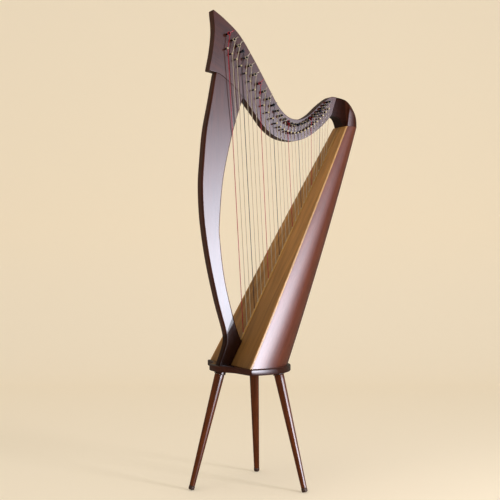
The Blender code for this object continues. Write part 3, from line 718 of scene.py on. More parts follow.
def shell_piece():
    """The round back, with its four oval openings."""
    behind = BOARD_THICKNESS / math.cos(LEAN) + BOARD_GAP
    low, count, steps = BOX_LOW_Z + BOARD_GAP, 48, 56
    rings = []
    for k in range(count + 1):
        z = low + (BOX_TOP_Z - low) * k / count
        inner = back_arc(z, SHELL_WALL, behind, steps)
        rings.append(back_arc(z, 0.0, behind, steps) + inner[::-1])
    shell = lofted("soundbox_back", rings)
    foot, head = (
        Vector((board_x(z) + BOX_SIDE + half_width(z) / math.cos(LEAN), 0.0, z))
        for z in (BOX_LOW_Z, BOX_TOP_Z))
    up = (head - foot).normalized()
    out = Vector((up.z, 0.0, -up.x))
    for share, width in zip(PORTS, PORT_WIDTHS):
        centre = foot.lerp(head, share)
        oval = [centre + 0.5 * width * (math.cos(a) * ACROSS + PORT_LENGTH * math.sin(a) * up)
                for a in (math.tau * k / 48 for k in range(48))]
        reach = 0.5 * width * out
        cut(shell, lofted("opening", [[p - reach for p in oval], [p + reach for p in oval]]))
    grain_along(shell, UP_BOX, (BOX_LOW_X, 0.0, BOX_LOW_Z))
    return dressed(shell, "harp", "shell", finish("shell"), "soundbox_shell")


def cut(obj, cutter):
    """Takes one closed mesh out of another, for good."""
    made = obj.modifiers.new("cut", "BOOLEAN")
    made.operation = "DIFFERENCE"
    made.solver = "EXACT"
    made.object = cutter
    baked(obj)
    bpy.data.objects.remove(cutter)
    obj.data.shade_smooth()
    obj.data.set_sharp_from_angle(angle=math.radians(SHARP_ANGLE))


# ---- neck, shoulder and pillar ----------------------------------------------------------------

# In the pillar's grain coordinates: square to the line above the painted shade at its foot, and
# where that is.
FOOT_SHADE_SLANT = (1.0, 0.0, 2.53)
FOOT_SHADE_LINE = -0.103
NECK_GRAIN = (0.86, 0.0, -0.5)
# In the shoulder's grain coordinates: along the body, and how far along it the cove, with its
# painted shade, ends.
ALONG_BODY = (0.8645, 0.0, 0.5026)
COVE_END = BOX_TOP_X + 0.5 * BOX_SIDE - BODY_X


def neck_piece():
    """The carved neck: two flat sides, its long edges eased all round."""
    runs = (smooth_line(NECK_FRONT), [NECK_FRONT[-1], NECK_TOP[0]], smooth_line(NECK_TOP),
            [NECK_TOP[-1], NECK_UNDER[0]], smooth_line(NECK_UNDER), smooth_line(SEAM))
    outline = [side(p) for run in runs for p in run[:-1]]
    near_side = [(x, -HALF_NECK, z) for x, z in outline]
    neck = extruded("neck_carved", near_side, 2.0 * HALF_NECK * ACROSS)
    rounded(neck, bpy.context.scene.harp_sizes.frame_edge)
    grain_along(neck, NECK_GRAIN, (BODY_X, 0.0, STAND_TOP + BODY_HEIGHT))
    return dressed(neck, "harp", "stained_frame", finish("frame"), "neck")


def rounded_ring(front, back, half, edge, bow=None):
    """A ring round a bar between a front and a back point, its corners rounded.

    half gives the half thickness at a height, bow lifts the points between the ends.
    """
    length = math.dist(front, back)
    along = ((back[0] - front[0]) / length, (back[1] - front[1]) / length)
    corner = [(edge * (1.0 - math.cos(a)), edge * (1.0 - math.sin(a)))
              for a in (math.radians(18.0 * k) for k in range(6))]
    flats = [edge + 0.001, *[edge + (length - 2.0 * edge) * k / 8 for k in range(1, 8)],
             length - edge - 0.001]
    across = [(s, inset) for s, inset in corner] + [(s, 0.0) for s in flats]
    across += [(length - s, inset) for s, inset in corner[::-1]]
    half_ring = []
    for s, inset in across:
        x, z = front[0] + s * along[0], front[1] + s * along[1]
        if bow:
            z += bow(s / length)
        half_ring.append((x, half(z) - inset, z))
    middle = [(front[0], y, front[1]) for y in (0.5 * half(front[1]), 0.0, -0.5 * half(front[1]))]
    ends = [(back[0], -y, back[1]) for y in (-0.5 * half(back[1]), 0.0, 0.5 * half(back[1]))]
    return half_ring + ends + [(x, -y, z) for x, y, z in half_ring[::-1]] + middle[::-1]


def along_line(points, count):
    """Evenly spaced points on a chain of points."""
    lengths = [0.0]
    for a, b in zip(points, points[1:]):
        lengths.append(lengths[-1] + math.dist(a, b))
    spaced, k = [], 0
    for step in range(count + 1):
        goal = lengths[-1] * step / count
        while k < len(points) - 2 and lengths[k + 1] < goal:
            k += 1
        t = (goal - lengths[k]) / (lengths[k + 1] - lengths[k])
        spaced.append(tuple(points[k][i] + t * (points[k + 1][i] - points[k][i]) for i in (0, 1)))
    return spaced


def pillar_piece():
    """The bowed pillar, thickest at mid height, from the plate up to the joint under the neck."""
    drop = 2.0 * BOARD_GAP
    front = [side(p) for p in smooth_line(PILLAR_FRONT)][::-1]
    back = [side(p) for p in smooth_line(PILLAR_BACK)]
    seam = [side(p) for p in smooth_line(SEAM)]
    joint_x = side(PILLAR_FRONT[0])[0]
    front = [p for p in front if p[1] < value_on(seam, joint_x, 1) - drop - 0.001]
    front[0] = (front[0][0], STAND_TOP + drop)
    front.append((joint_x, value_on(seam, joint_x, 1) - drop))
    back = [p for p in back if p[1] < value_on(seam, p[0], 1) - drop - 0.001]
    back.append((seam[0][0], seam[0][1] - drop))
    corner = (board_x(back[0][1]) - drop, back[0][1])
    back[0] = corner
    heel = (board_x(STAND_TOP) - drop, STAND_TOP + drop)
    foot_front = [p for p in front if p[1] <= corner[1]]
    level = min(front, key=lambda p: abs(p[1] - corner[1]))
    rest_front = [p for p in front if p[1] > level[1]]
    rows = list(zip(along_line(foot_front, 10), along_line([heel, corner], 10)))
    rows += list(zip(along_line([foot_front[-1], *rest_front], 90), along_line(back, 90)))[1:]
    top, middle, bottom = (0.5 * t for t in PILLAR_THICKNESS)
    z_top = side(SEAM[1])[1]

    def half(z):
        f = (z - STAND_TOP) / (z_top - STAND_TOP)
        bow = 2 * bottom + 2 * top - 4 * middle
        return bottom + f * (4 * middle - 3 * bottom - top) + f * f * bow

    def seam_bow(a, b, amount):
        def lift(s):
            x = a[0] + s * (b[0] - a[0])
            return amount * (value_on(seam, x, 1) - drop - (a[1] + s * (b[1] - a[1])))
        return lift

    edge = 1.6 * bpy.context.scene.harp_sizes.frame_edge
    a, b = rows[-1]
    rings = []
    for k, (f, r) in enumerate(rows):
        amount = max(0.0, 1.0 - (len(rows) - 1 - k) / 30.0) ** 2
        lift = seam_bow(a, b, amount) if amount else None
        rings.append(rounded_ring(f, r, half, edge, lift))
    pillar = lofted("pillar_carved", rings)
    grain_along(pillar, (0.0, 0.0, 1.0), (BODY_X, 0.0, STAND_TOP))
    return dressed(pillar, "harp", "stained_frame", finish("pillar"), "pillar")


def shoulder_piece():
    """The block that flares from the neck, through a cove on each side, to the soundbox's top."""
    wide = half_width(BOX_TOP_Z)
    deep = wide / math.cos(LEAN)
    start = side((0.843, 0.0))[0]
    crease_x = BOX_TOP_X + 0.5 * BOX_SIDE
    back_x = BOX_TOP_X + BOX_SIDE
    first = math.radians(28.0)  # the cove leaves the neck at an angle
    stations = [(start, HALF_NECK)]
    for k in range(1, 14):
        angle = first + (0.5 * math.pi - first) * k / 14
        ahead = (math.sin(angle) - math.sin(first)) / (1.0 - math.sin(first))
        stations.append((start + (crease_x - start) * ahead,
                         wide - (wide - HALF_NECK) * math.cos(angle) / math.cos(first)))
    stations += [(crease_x, wide - 0.0012), (crease_x + 0.0012, wide)]
    stations += [(back_x + deep * math.sin(a), wide * math.cos(a))
                 for a in (math.radians(6.0 * k) for k in range(15))]
    stations.append((back_x + 0.998 * deep, 0.06 * wide))
    crown = [side(p) for p in smooth_line(SHOULDER_TOP)]
    under = [side(p) for p in smooth_line(SHOULDER_FRONT)]
    slant = (side((0.860, 0.0))[0] - side((0.826, 0.0))[0]) / ((0.776 - 0.722) * BODY_HEIGHT)
    rings = []
    for x, half in stations:
        bottom = BOX_TOP_Z + BOARD_GAP
        if x < BOX_TOP_X:
            bottom = max(bottom, value_on(under, x, 1))
        high = value_on(crown, x, 1)
        f = min(max((x - start) / (crease_x - start), 0.0), 1.0)
        g = min(max((x - crease_x) / deep, 0.0), 1.0)
        shear = (slant + (0.14 - slant) * f) * (1.0 - g)
        edge = min(0.003, 0.3 * half)
        ys = [half - edge + edge * math.sin(math.radians(18.0 * k)) for k in range(6)][::-1]
        ys += [(half - edge) * (1.0 - k / 6.0) for k in range(1, 7)]
        arch = []
        for y in ys:
            fall = SHOULDER_FALL * (1.0 - math.sqrt(max(1.0 - (y / (wide + 0.001)) ** 2, 0.0)))
            over = max(y - (half - edge), 0.0)
            arch.append((y, high - fall - (edge - math.sqrt(max(edge * edge - over * over, 0.0)))))
        arch += [(-y, z) for y, z in arch[-2::-1]]
        rise = max(arch[0][1] - bottom, 0.001)
        walls = [(half, bottom + t * rise) for t in (0.0, 0.25, 0.5, 0.75)]
        loop = walls + [(y, max(z, bottom + 0.0012)) for y, z in arch]
        loop += [(-y, z) for y, z in walls[::-1]]
        loop += [(share * half, bottom) for share in (-0.5, 0.0, 0.5)]
        centre = bottom + 0.5 * (high - bottom) * (1.0 - f)
        rings.append([(x + shear * (z - centre), y, z) for y, z in loop])
    block = lofted("shoulder_carved", rings)
    grain_along(block, NECK_GRAIN, (BODY_X, 0.0, STAND_TOP + BODY_HEIGHT))
    return dressed(block, "harp", "stained_frame", finish("shoulder"), "shoulder_block")


# ---- strings, pins and the rib ----------------------------------------------------------------

BEARING_Y = -HALF_NECK - STAND_OFF
PIN_DOME = 0.0012  # rounding of a tuning pin's string end
GROOVE_DEPTH = 0.0006  # of a bridge pin, where its string bears
CAP_ROUND = 0.0016  # rounding of a bridge pin's end
THIN_FROM = 12  # from this string up, strings take one turn and are cut close


def pin_piece(body):
    """A tuning pin: a domed end that the string winds on, and a square end for the key."""
    centre = Vector(JOINTS[body]["pos_m"])
    string_end, key_end = HALF_NECK + PIN_STRING_END, HALF_NECK + PIN_KEY_END
    half = 0.5 * PIN_SQUARE
    square_start = key_end - PIN_SQUARE_LENGTH
    # Place along the pin, radius, and how square it is there.
    stations = [(-string_end + PIN_DOME * (1.0 - math.cos(a)),
                 PIN_RADIUS - PIN_DOME * (1.0 - math.sin(a)), 0.0)
                for a in (math.radians(22.5 * k) for k in range(5))]
    stations += [(0.0, PIN_RADIUS, 0.0), (square_start, PIN_RADIUS, 0.0),
                 (square_start + 0.0015, PIN_RADIUS, 1.0), (key_end - 0.0005, PIN_RADIUS, 1.0),
                 (key_end, PIN_RADIUS - 0.0006, 1.0)]
    rings = []
    for y, radius, square in stations:
        ring = []
        for k in range(32):
            c, s = math.cos(math.tau * (k + 0.5) / 32), math.sin(math.tau * (k + 0.5) / 32)
            flat = half * radius / PIN_RADIUS / max(abs(c), abs(s))
            reach = radius + square * (min(flat, radius) - radius)
            ring.append(centre + Vector((reach * c, y, reach * s)))
        rings.append(ring)
    return dressed(lofted(f"tuning_{body}", rings, 35.0), body, "pin_steel", finish("pin"),
                   body.replace("pin_", "tuning_pin_"))


def winding_piece(number, body):
    """The turns of a string on its pin, and the cut tail that stands out of the pin."""
    sizes = bpy.context.scene.harp_sizes
    centre = Vector(JOINTS[body]["pos_m"])
    radius = string_radius(number)
    reach = PIN_RADIUS + 0.85 * radius
    coil = []
    thin = number >= THIN_FROM
    turns = 1 if thin else sizes.windings
    pitch = 2.02 * radius
    for k in range(16 * turns + 1):
        a = math.tau * k / 16
        off = Vector((reach * math.cos(a), BEARING_Y - pitch * k / 16, reach * math.sin(a)))
        coil.append((centre + off, radius))
    tail_y = BEARING_Y - pitch * (turns + 0.6)
    lean = math.radians(52.0 + 17.0 * math.sin(5.1 * number))
    length = 0.0140 + 0.0025 * math.sin(2.7 * number)
    if thin:
        length *= 0.45
    out = Vector((math.cos(lean), -0.10, math.sin(lean)))
    start = Vector((centre.x, tail_y, centre.z))
    tail = [(start + 0.25 * PIN_RADIUS * out, radius), (start + 0.5 * length * out, radius),
            (start + length * out + Vector((0.0006, 0.0, -0.0003)), radius)]
    piece = paths(f"winding_{number:02d}", [coil, tail])
    colour = string_colour(number)
    shaped(piece, swept_tree, sides=6, material=finish(colour))
    return dressed(piece, body, "strings", finish(colour))


def string_pieces():
    """The strings, one piece for each colour."""
    lines = {"clear": [], "red": [], "black": []}
    for number, (tuning, bridge, board) in enumerate(string_points(), 1):
        radius = string_radius(number)
        at_pin = Vector((tuning[0] + PIN_RADIUS + 0.85 * radius, BEARING_Y, tuning[1]))
        against = BRIDGE_RADIUS - GROOVE_DEPTH + 0.7 * radius
        at_bridge = Vector((bridge[0] + against, BEARING_Y, bridge[1]))
        # The hole is in the rib's face, which stands ahead of the soundboard.
        ahead = RIB_THICKNESS * Vector((-1.0, 0.0, 0.0))
        at_rib = Vector((board[0], 0.0, board[1])) + 0.6 * ahead
        run = [(point, radius) for point in (at_pin, at_bridge, at_rib)]
        lines[string_colour(number)].append(run)
    made = []
    for colour, runs in lines.items():
        piece = paths(f"strings_{colour}", runs)
        shaped(piece, swept_tree, sides=10, material=finish(colour))
        made.append(dressed(piece, "harp", "strings", finish(colour), "strings_on_rib"))
    return made


def on_points(name, places, profile, axis, material, body, slot, *nodes, sides=20):
    """One small turned shape, repeated on each place. The profile is (distance along, radius)."""
    axis = Vector(axis).normalized()
    aside = axis.orthogonal().normalized()
    over = axis.cross(aside)
    rings = [[d * axis + r * (math.cos(a) * aside + math.sin(a) * over)
              for a in (math.tau * k / sides for k in range(sides))] for d, r in profile]
    pattern = lofted(name + "_pattern", rings)
    bm = bmesh.new()
    for place in places:
        bm.verts.new(place)
    piece = new_object(name, bm)
    shaped(piece, repeated_tree, pattern=pattern, material=material)
    bpy.data.objects.remove(pattern)
    return dressed(piece, body, slot, material, *nodes)


def bridge_pieces():
    """Bridge pins: a shaft from the neck, a groove for the string and a pale round end, its pale
    colour a painted highlight for the shine of the cap.
    """
    places = [(bridge[0], -HALF_NECK, bridge[1]) for _, bridge, _ in string_points()]
    floor = BRIDGE_RADIUS - GROOVE_DEPTH
    shaft = [(-0.004, BRIDGE_RADIUS), (STAND_OFF - 0.0022, BRIDGE_RADIUS),
             (STAND_OFF - 0.0012, floor), (STAND_OFF + 0.0012, floor),
             (STAND_OFF + 0.0020, BRIDGE_RADIUS - 0.0002)]
    cap = [(STAND_OFF + 0.0016, BRIDGE_RADIUS - 0.0008), (STAND_OFF + 0.0022, BRIDGE_RADIUS)]
    cap += [(BRIDGE_OUT + CAP_ROUND * (math.sin(a) - 1.0),
             BRIDGE_RADIUS + CAP_ROUND * (math.cos(a) - 1.0))
            for a in (math.radians(18.0 * k) for k in range(6))]
    return [on_points(name, places, profile, -ACROSS, finish(look), "harp", "strings",
                      "strings_on_rib")
            for name, profile, look in (("bridge_pins", shaft, "pin"),
                                        ("bridge_pin_ends", cap, "tip"))]


def rib_pieces():
    """The outer rib, softened at its edges, and an eyelet at each string's hole."""
    half = 0.5 * bpy.context.scene.harp_sizes.rib_width
    low, high = side(PILLAR_BACK[0])[1] + 0.004, BOX_TOP_Z - BOARD_GAP
    rings = []
    section = [(BOARD_GAP, half), (RIB_THICKNESS - 0.0012, half),
               (RIB_THICKNESS - 0.0004, half - 0.0005), (RIB_THICKNESS, half - 0.0016),
               (RIB_THICKNESS, 0.0)]
    section += [(d, -y) for d, y in section[-2::-1]]
    for k in range(41):
        z = low + (high - low) * k / 40
        rings.append([(board_x(z) - d, y, z) for d, y in section])
    rib = lofted("string_rib", rings)
    grain_along(rib, UP_BOX, (BOX_LOW_X, 0.0, BOX_LOW_Z))
    eyelet = [(-0.002, 0.0022), (0.0003, 0.0024), (0.0007, 0.0021), (0.0008, 0.0015)]
    depth = RIB_THICKNESS * math.cos(LEAN)
    places = [Vector((board[0], 0.0, board[1])) + (depth - 0.0002) * OUT_OF_BOARD
              for _, _, board in string_points()]
    return [dressed(rib, "harp", "strings", finish("rib"), "strings_on_rib"),
            on_points("string_eyelets", places, eyelet, OUT_OF_BOARD, finish("tip"), "harp",
                      "strings", "strings_on_rib", sides=16)]


# ---- the stand --------------------------------------------------------------------------------


def turned_piece(name, start, axis, profile, sides=64, sharp=35.0):
    """A lathe shape: the profile holds (distance along the axis, radius)."""
    axis = Vector(axis).normalized()
    aside = axis.cross(ACROSS).normalized() if abs(axis.y) < 0.9 else Vector((1.0, 0.0, 0.0))
    over = axis.cross(aside)
    rings = [[Vector(start) + d * axis + r * (math.cos(a) * aside + math.sin(a) * over)
              for a in (math.tau * k / sides for k in range(sides))] for d, r in profile]
    return lofted(name, rings, sharp)


def plate_piece():
    """The plate: a round back, two front corners and a tongue under the pillar's foot."""
    centre = PLATE_HIGH.x - PLATE_HALF_DEPTH
    corner_x = centre - PLATE_CORNERS
    first = math.acos(-PLATE_CORNERS / PLATE_HALF_DEPTH)
    outline = [(centre + PLATE_HALF_DEPTH * math.cos(a), PLATE_HALF_WIDTH * math.sin(a))
               for a in (first * (1.0 - k / 60) for k in range(121))]
    corner_y = outline[0][1]
    shape = [(0.0, 1.0), (0.14, 0.74), (0.28, 0.50), (0.50, 0.37), (0.80, 0.28), (0.97, 0.13)]
    tongue = [(corner_x - PLATE_TONGUE * ahead, -corner_y * across) for ahead, across in shape]
    tongue += [(x, -y) for x, y in tongue[::-1]]
    outline = outline[:-1] + smooth_line(tongue, 8)[:-1]
    plate = extruded("plate_shaped", [(x, y, PLATE_LOW.z) for x, y in outline],
                     Vector((0.0, 0.0, PLATE_HIGH.z - PLATE_LOW.z)))
    rounded(plate, bpy.context.scene.harp_sizes.plate_edge, angle=50.0)
    for node in ("stand_bolt_left", "stand_bolt_right", "pillar_screw"):
        low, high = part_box(node)
        middle = 0.5 * (low + high)
        head = 0.5 * (high.x - low.x) + BOARD_GAP
        start = (middle.x, middle.y, PLATE_LOW.z - 0.01)
        cut(plate, turned_piece("sinking", start, (0.0, 0.0, 1.0),
                                [(0.0, head), (0.01 + SINKING, head)], 32))
    grain_along(plate, ACROSS, (STAND_X, 0.0, STAND_TOP))
    return dressed(plate, "harp", "plate", finish("plate"), "stand_plate")


def leg_pieces(name):
    """One leg with its rubber tip, which unscrew together, and its wedge pad under the plate."""
    sizes = bpy.context.scene.harp_sizes
    body = f"leg_{name}_turned"
    joint = JOINTS[body]
    top, axis = Vector(joint["pos_m"]), Vector(joint["axis"]).normalized()
    splay = math.acos(-axis.z)
    drop = max(d * math.cos(splay) + r * math.sin(splay)
               for d, r in ((0.75 * TIP_LENGTH, TIP_RADIUS), (TIP_LENGTH, TIP_RADIUS - TIP_EDGE)))
    length = (top.z - drop) / math.cos(splay)
    start, end = PAD_THICKNESS + BOARD_GAP, length - BOARD_GAP
    wide, narrow = 0.5 * sizes.leg_top, 0.5 * sizes.leg_foot
    profile = [(start, wide - 0.0030)]
    profile += [(start + 0.002 * (1 - math.cos(a)), wide - 0.002 * (1 - math.sin(a)))
                for a in (math.radians(22.5 * k) for k in range(5))]
    profile += [(start + 0.002 + (end - start - 0.003) * k / 24, wide + (narrow - wide) * k / 24)
                for k in range(1, 25)]
    profile += [(end, narrow - 0.001)]
    leg = turned_piece(f"leg_{name}_lathed", top, axis, profile)
    grain_along(leg, axis, top)
    dressed(leg, body, "legs", finish("leg"), f"leg_{name}")
    tip_profile = [(0.0, TIP_RADIUS - 0.0006), (0.0006, TIP_RADIUS),
                   (0.75 * TIP_LENGTH, TIP_RADIUS), (0.90 * TIP_LENGTH, TIP_RADIUS - 0.0008),
                   (TIP_LENGTH, TIP_RADIUS - TIP_EDGE)]
    tip = turned_piece(f"tip_{name}_moulded", top + length * axis, axis, tip_profile, 48)
    dressed(tip, body, "rubber", finish("rubber"), f"foot_tip_{name}")
    aside = axis.cross(ACROSS).normalized()
    over = axis.cross(aside)
    level, slope = [], []
    for k in range(64):
        a = math.tau * k / 64
        out = PAD_RADIUS * (math.cos(a) * aside + math.sin(a) * over)
        level.append(Vector((top.x + out.x, top.y + out.y, top.z - BOARD_GAP)))
        slope.append(top + PAD_THICKNESS * axis + out)
    pad = rounded(lofted(f"pad_{name}_turned", [level, slope]), 0.0006, 2)
    grain_along(pad, ACROSS, top)
    dressed(pad, "harp", "plate", finish("plate"), f"leg_pad_{name}")


# ---- pieces that keep their solids ------------------------------------------------------------


KEPT_SOLIDS = {
    "board": ("soundboard",),
    "banding": ("edge_trim_left", "edge_trim_right"),
    "bare": ("base_block", "top_block", "inner_rib", "lining_left", "lining_right", "brace_lower",
             "brace_upper", "neck_dowel"),
    "zinc": ("stand_bolt_left", "stand_bolt_right", "pillar_screw", "leg_stud_front",
             "leg_stud_left", "leg_stud_right"),
}


def finish_solids():
    """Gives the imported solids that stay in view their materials."""
    for look, nodes in KEPT_SOLIDS.items():
        for node in nodes:
            solid = frame["nodes"][node]
            solid.data.materials.clear()
            solid.data.materials.append(finish(look))


# ---- the stage --------------------------------------------------------------------------------

VIEW_AZIMUTH = 24.5  # degrees round from the -Y side towards the pillar
CAMERA_DISTANCE = 3.195
CAMERA_HEIGHT = 0.6868
CAMERA_LENS = 79.5  # mm, on a 36 mm sensor
CAMERA_SHIFT = (-0.0018, -0.0062)
PAPER_GLOW = 0.16  # light that the paper gives off itself
GLOSS_ROOM = 0.12  # how bright the room is in the gloss of the finish
SOFT_ROOM = 0.62  # how much soft light the room gives


def stage_floor():
    """A pale seamless sweep of paper: floor, curve and wall."""
    reach, back, curve = 4.0, 2.2, 0.8
    profile = [(-reach, 0.0), (back, 0.0)]
    profile += [(back + curve * math.sin(a), curve * (1.0 - math.cos(a)))
                for a in (math.radians(9.0 * k) for k in range(1, 11))]
    profile += [(back + curve, 4.0)]
    a = math.radians(VIEW_AZIMUTH)
    ahead = Vector((math.sin(a), math.cos(a), 0.0))
    aside = Vector((math.cos(a), -math.sin(a), 0.0))
    bm = bmesh.new()
    rows = [[bm.verts.new(d * ahead + w * aside + Vector((0.0, 0.0, h))) for w in (-reach, reach)]
            for d, h in profile]
    for near, far in zip(rows, rows[1:]):
        bm.faces.new((near[0], near[1], far[1], far[0]))
    sweep = new_object("studio_sweep", bm)
    made, _, shader = new_material("matt_pale_paper")
    shader.inputs["Base Color"].default_value = linear(bpy.context.scene.harp_colours.backdrop)
    shader.inputs["Roughness"].default_value = 0.9
    shader.inputs["Specular IOR Level"].default_value = 0.1
    # Paper lit from behind, so that it is as pale as the room without lighting the harp more.
    shader.inputs["Emission Color"].default_value = linear("#FFF0D8")
    shader.inputs["Emission Strength"].default_value = PAPER_GLOW
    sweep.data.materials.append(made)
    sweep.visible_glossy = False
    return sweep


def studio_world():
    """Soft light from all round, with dim beige surroundings in the gloss of the finish."""
    world = bpy.data.worlds.new("studio")
    bpy.context.scene.world = world
    world.use_nodes = True
    tree = world.node_tree
    tree.nodes.clear()
    path = add_node(tree, "ShaderNodeLightPath")
    gloss, soft, seen = (
        add_node(tree, "ShaderNodeBackground", {"Color": linear(colour), "Strength": strength})
        for colour, strength in (
            ("#E7DAC5", GLOSS_ROOM), ("#FFFAF2", SOFT_ROOM), ("#EEE3CF", 1.0)))
    lit = add_node(tree, "ShaderNodeMixShader", {
        0: path.outputs["Is Glossy Ray"], 1: soft.outputs[0], 2: gloss.outputs[0]})
    all_rays = add_node(tree, "ShaderNodeMixShader", {
        0: path.outputs["Is Camera Ray"], 1: lit.outputs[0], 2: seen.outputs[0]})
    add_node(tree, "ShaderNodeOutputWorld", {"Surface": all_rays.outputs[0]})


CARD_BEARING = 40.0  # degrees off -Y towards +X
CARD_DISTANCE = 2.1
CARD_STRENGTH = 21.0
CARD_CORNERS = ((-2.2, -0.9), (1.6, -0.9), (1.6, 2.4), (-2.2, 2.4))  # sideways, height
# Middle of the glow, then its reach below and above the middle.
GLOW_ACROSS = (-0.8, 0.60, 1.45)
GLOW_UP = (0.4, 0.75, 1.0)
# How bright the glow is at a share of twice its reach.
GLOW_LEVELS = [(0.0, 1.0), (0.125, 0.92), (0.25, 0.70), (0.375, 0.42), (0.5, 0.19), (0.625, 0.08),
               (0.75, 0.035), (1.0, 0.012)]


def stage_card():
    """A glowing cloth in front, to the right, that only the gloss of the finish sees."""
    b = math.radians(CARD_BEARING)
    out = Vector((math.sin(b), -math.cos(b), 0.0))
    aside = Vector((math.cos(b), math.sin(b), 0.0))
    bm = bmesh.new()
    layer = bm.verts.layers.float_vector.new("card")
    corners = []
    for u, h in CARD_CORNERS:
        vert = bm.verts.new(CARD_DISTANCE * out + u * aside + Vector((0.0, 0.0, h)))
        vert[layer] = (u, h, 0.0)
        corners.append(vert)
    bm.faces.new(corners)
    card = new_object("glow_cloth", bm)
    made = bpy.data.materials.new("back_lit_cloth")
    made.use_nodes = True
    tree = made.node_tree
    tree.nodes.clear()
    place = add_node(tree, "ShaderNodeAttribute", attribute_name="card").outputs["Vector"]
    parts = add_node(tree, "ShaderNodeSeparateXYZ", {0: place})

    def maths(operation, *values):
        node = add_node(tree, "ShaderNodeMath", dict(enumerate(values)), operation=operation)
        return node.outputs[0]

    def spread(value, middle, low, high):
        """Distance from the middle of the glow, each way in shares of its reach."""
        off = maths("SUBTRACT", value, middle)
        return maths("MAXIMUM", maths("DIVIDE", off, high), maths("DIVIDE", off, -low))

    across = spread(parts.outputs[0], *GLOW_ACROSS)
    up = spread(parts.outputs[1], *GLOW_UP)
    far = maths("SQRT", maths("ADD", maths("MULTIPLY", across, across), maths("MULTIPLY", up, up)))
    share = maths("DIVIDE", far, 2.0)
    ramp = add_node(tree, "ShaderNodeValToRGB", {0: share})
    elements = ramp.color_ramp.elements
    elements[0].position, elements[1].position = GLOW_LEVELS[0][0], GLOW_LEVELS[-1][0]
    for position, _ in GLOW_LEVELS[1:-1]:
        elements.new(position)
    for element, (_, level) in zip(elements, GLOW_LEVELS):
        element.color = (level, level, level, 1.0)
    tint = add_node(tree, "ShaderNodeMix", {0: share}, data_type="RGBA")
    tint.inputs[6].default_value = linear("#EBF1FF")
    tint.inputs[7].default_value = linear("#E6DCEC")
    glow = add_node(tree, "ShaderNodeEmission", {
        "Color": tint.outputs[2], "Strength": maths("MULTIPLY", ramp.outputs[0], CARD_STRENGTH)})
    add_node(tree, "ShaderNodeOutputMaterial", {"Surface": glow.outputs[0]})
    card.data.materials.append(made)
    card.visible_camera = card.visible_diffuse = card.visible_shadow = False
    card.visible_transmission = False
    return card


# Name, bearing off -Y towards +X, degrees up, distance, width, watts, colour.
LIGHTS = (("key", 24.0, 6.0, 2.2, 0.5, 20.0, "#F8F6FA"),
          ("fill", -60.0, 45.0, 3.0, 2.4, 9.0, "#FFF8EC"))
LIT_HEIGHT = 0.75  # the height they aim at


def area_light(name, bearing, height, distance, size, power, colour):
    """A soft round panel aimed at the middle of the harp, which the gloss doesn't see."""
    light = bpy.data.lights.new(name, "AREA")
    light.shape = "DISK"
    light.size = size
    light.energy = power
    light.color = linear(colour)[:3]
    lamp = bpy.data.objects.new(name, light)
    bpy.context.scene.collection.objects.link(lamp)
    b, h = math.radians(bearing), math.radians(height)
    out = Vector((math.sin(b) * math.cos(h), -math.cos(b) * math.cos(h), math.sin(h)))
    lamp.location = Vector((STAND_X + 0.1, 0.0, LIT_HEIGHT)) + distance * out
    lamp.rotation_euler = out.to_track_quat("Z", "Y").to_euler()
    lamp.visible_glossy = False
    return lamp


def stage_camera():
    """A level camera that looks at the stand's middle from the string side."""
    a = math.radians(VIEW_AZIMUTH)
    camera = bpy.data.cameras.new("camera")
    camera.lens = CAMERA_LENS
    camera.sensor_width = 36.0
    camera.shift_x, camera.shift_y = CAMERA_SHIFT
    holder = bpy.data.objects.new("camera", camera)
    bpy.context.scene.collection.objects.link(holder)
    holder.location = (STAND_X - CAMERA_DISTANCE * math.sin(a), -CAMERA_DISTANCE * math.cos(a),
                       CAMERA_HEIGHT)
    holder.rotation_euler = (math.radians(90.0), 0.0, -a)
    bpy.context.scene.camera = holder


# ---- operators --------------------------------------------------------------------------------


def checked(made):
    if not made:
        raise RuntimeError("nothing was built")
    return {"FINISHED"}


class HARP_OT_soundbox(bpy.types.Operator):
    """Build the round back of the soundbox with its openings"""

    bl_idname = "harp.soundbox"
    bl_label = "Soundbox"

    def execute(self, context):
        return checked(shell_piece())


class HARP_OT_neck(bpy.types.Operator):
    """Build the carved neck"""

    bl_idname = "harp.neck"
    bl_label = "Neck"

    def execute(self, context):
        return checked(neck_piece())


class HARP_OT_shoulder(bpy.types.Operator):
    """Build the block that joins the neck to the soundbox"""

    bl_idname = "harp.shoulder"
    bl_label = "Shoulder"

    def execute(self, context):
        return checked(shoulder_piece())


class HARP_OT_pillar(bpy.types.Operator):
    """Build the bowed pillar"""

    bl_idname = "harp.pillar"
    bl_label = "Pillar"

    def execute(self, context):
        return checked(pillar_piece())


class HARP_OT_tuning_pins(bpy.types.Operator):
    """Build the tuning pins and the string wound on each"""

    bl_idname = "harp.tuning_pins"
    bl_label = "Tuning pins"

    def execute(self, context):
        for number, body in enumerate(PIN_BODIES, 1):
            pin_piece(body)
            winding_piece(number, body)
        return checked(PIN_BODIES)


class HARP_OT_strings(bpy.types.Operator):
    """Build the strings between their tuning pins and the rib"""

    bl_idname = "harp.strings"
    bl_label = "Strings"

    def execute(self, context):
        return checked(string_pieces())


class HARP_OT_bridge_pins(bpy.types.Operator):
    """Build the bridge pins in the neck's side"""

    bl_idname = "harp.bridge_pins"
    bl_label = "Bridge pins"

    def execute(self, context):
        return checked(bridge_pieces())


class HARP_OT_rib(bpy.types.Operator):
    """Build the outer rib and its eyelets"""

    bl_idname = "harp.rib"
    bl_label = "String rib"

    def execute(self, context):
        return checked(rib_pieces())


class HARP_OT_stand(bpy.types.Operator):
    """Build the stand's plate, its legs, pads and rubber tips"""

    bl_idname = "harp.stand"
    bl_label = "Stand"

    def execute(self, context):
        made = plate_piece()
        for name in LEG_NAMES:
            leg_pieces(name)
        return checked(made)


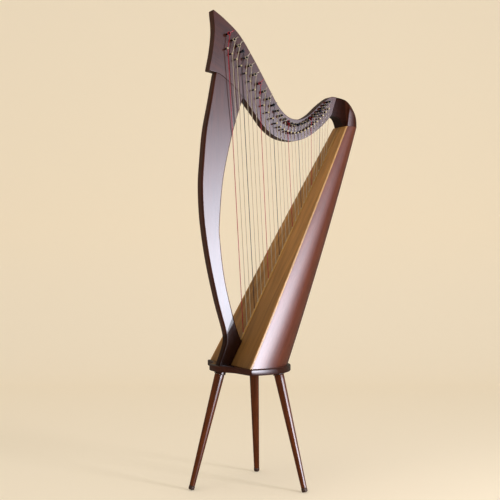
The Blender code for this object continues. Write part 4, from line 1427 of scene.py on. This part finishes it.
class HARP_OT_solids(bpy.types.Operator):
    """Give the soundboard, banding, inner timbers and fixings their finishes"""

    bl_idname = "harp.solids"
    bl_label = "Carried-over solids"

    def execute(self, context):
        finish_solids()
        return {"FINISHED"}


class HARP_OT_stage(bpy.types.Operator):
    """Set the pale studio, its lights and the camera"""

    bl_idname = "harp.stage"
    bl_label = "Stage"

    def execute(self, context):
        stage_floor()
        studio_world()
        stage_card()
        for light in LIGHTS:
            area_light(*light)
        stage_camera()
        context.scene.view_settings.view_transform = "Standard"
        return {"FINISHED"}


OPERATORS = (HARP_OT_soundbox, HARP_OT_neck, HARP_OT_shoulder, HARP_OT_pillar, HARP_OT_tuning_pins,
             HARP_OT_strings, HARP_OT_bridge_pins, HARP_OT_rib, HARP_OT_stand, HARP_OT_solids,
             HARP_OT_stage)


class HARP_PT_panel(bpy.types.Panel):
    """Lists the harp's pieces, sizes and colours"""

    bl_idname = "HARP_PT_panel"
    bl_label = "Folk harp"
    bl_space_type = "VIEW_3D"
    bl_region_type = "UI"
    bl_category = "Harp"

    def draw(self, context):
        layout = self.layout
        for group in (context.scene.harp_sizes, context.scene.harp_colours):
            box = layout.box()
            for name in group.__annotations__:
                box.prop(group, name)
        column = layout.column(align=True)
        for operator in OPERATORS:
            column.operator(operator.bl_idname)


CLASSES = (HarpSizes, HarpColours, *OPERATORS, HARP_PT_panel)


def register():
    for cls in CLASSES:
        bpy.utils.register_class(cls)
    bpy.types.Scene.harp_sizes = PointerProperty(type=HarpSizes)
    bpy.types.Scene.harp_colours = PointerProperty(type=HarpColours)


def unregister():
    del bpy.types.Scene.harp_colours
    del bpy.types.Scene.harp_sizes
    for cls in reversed(CLASSES):
        bpy.utils.unregister_class(cls)


def main():
    register()
    bpy.ops.harp.soundbox()
    bpy.ops.harp.neck()
    bpy.ops.harp.shoulder()
    bpy.ops.harp.pillar()
    bpy.ops.harp.tuning_pins()
    bpy.ops.harp.strings()
    bpy.ops.harp.bridge_pins()
    bpy.ops.harp.rib()
    bpy.ops.harp.stand()
    bpy.ops.harp.solids()
    bpy.ops.harp.stage()


if __name__ == "__main__":
    main()
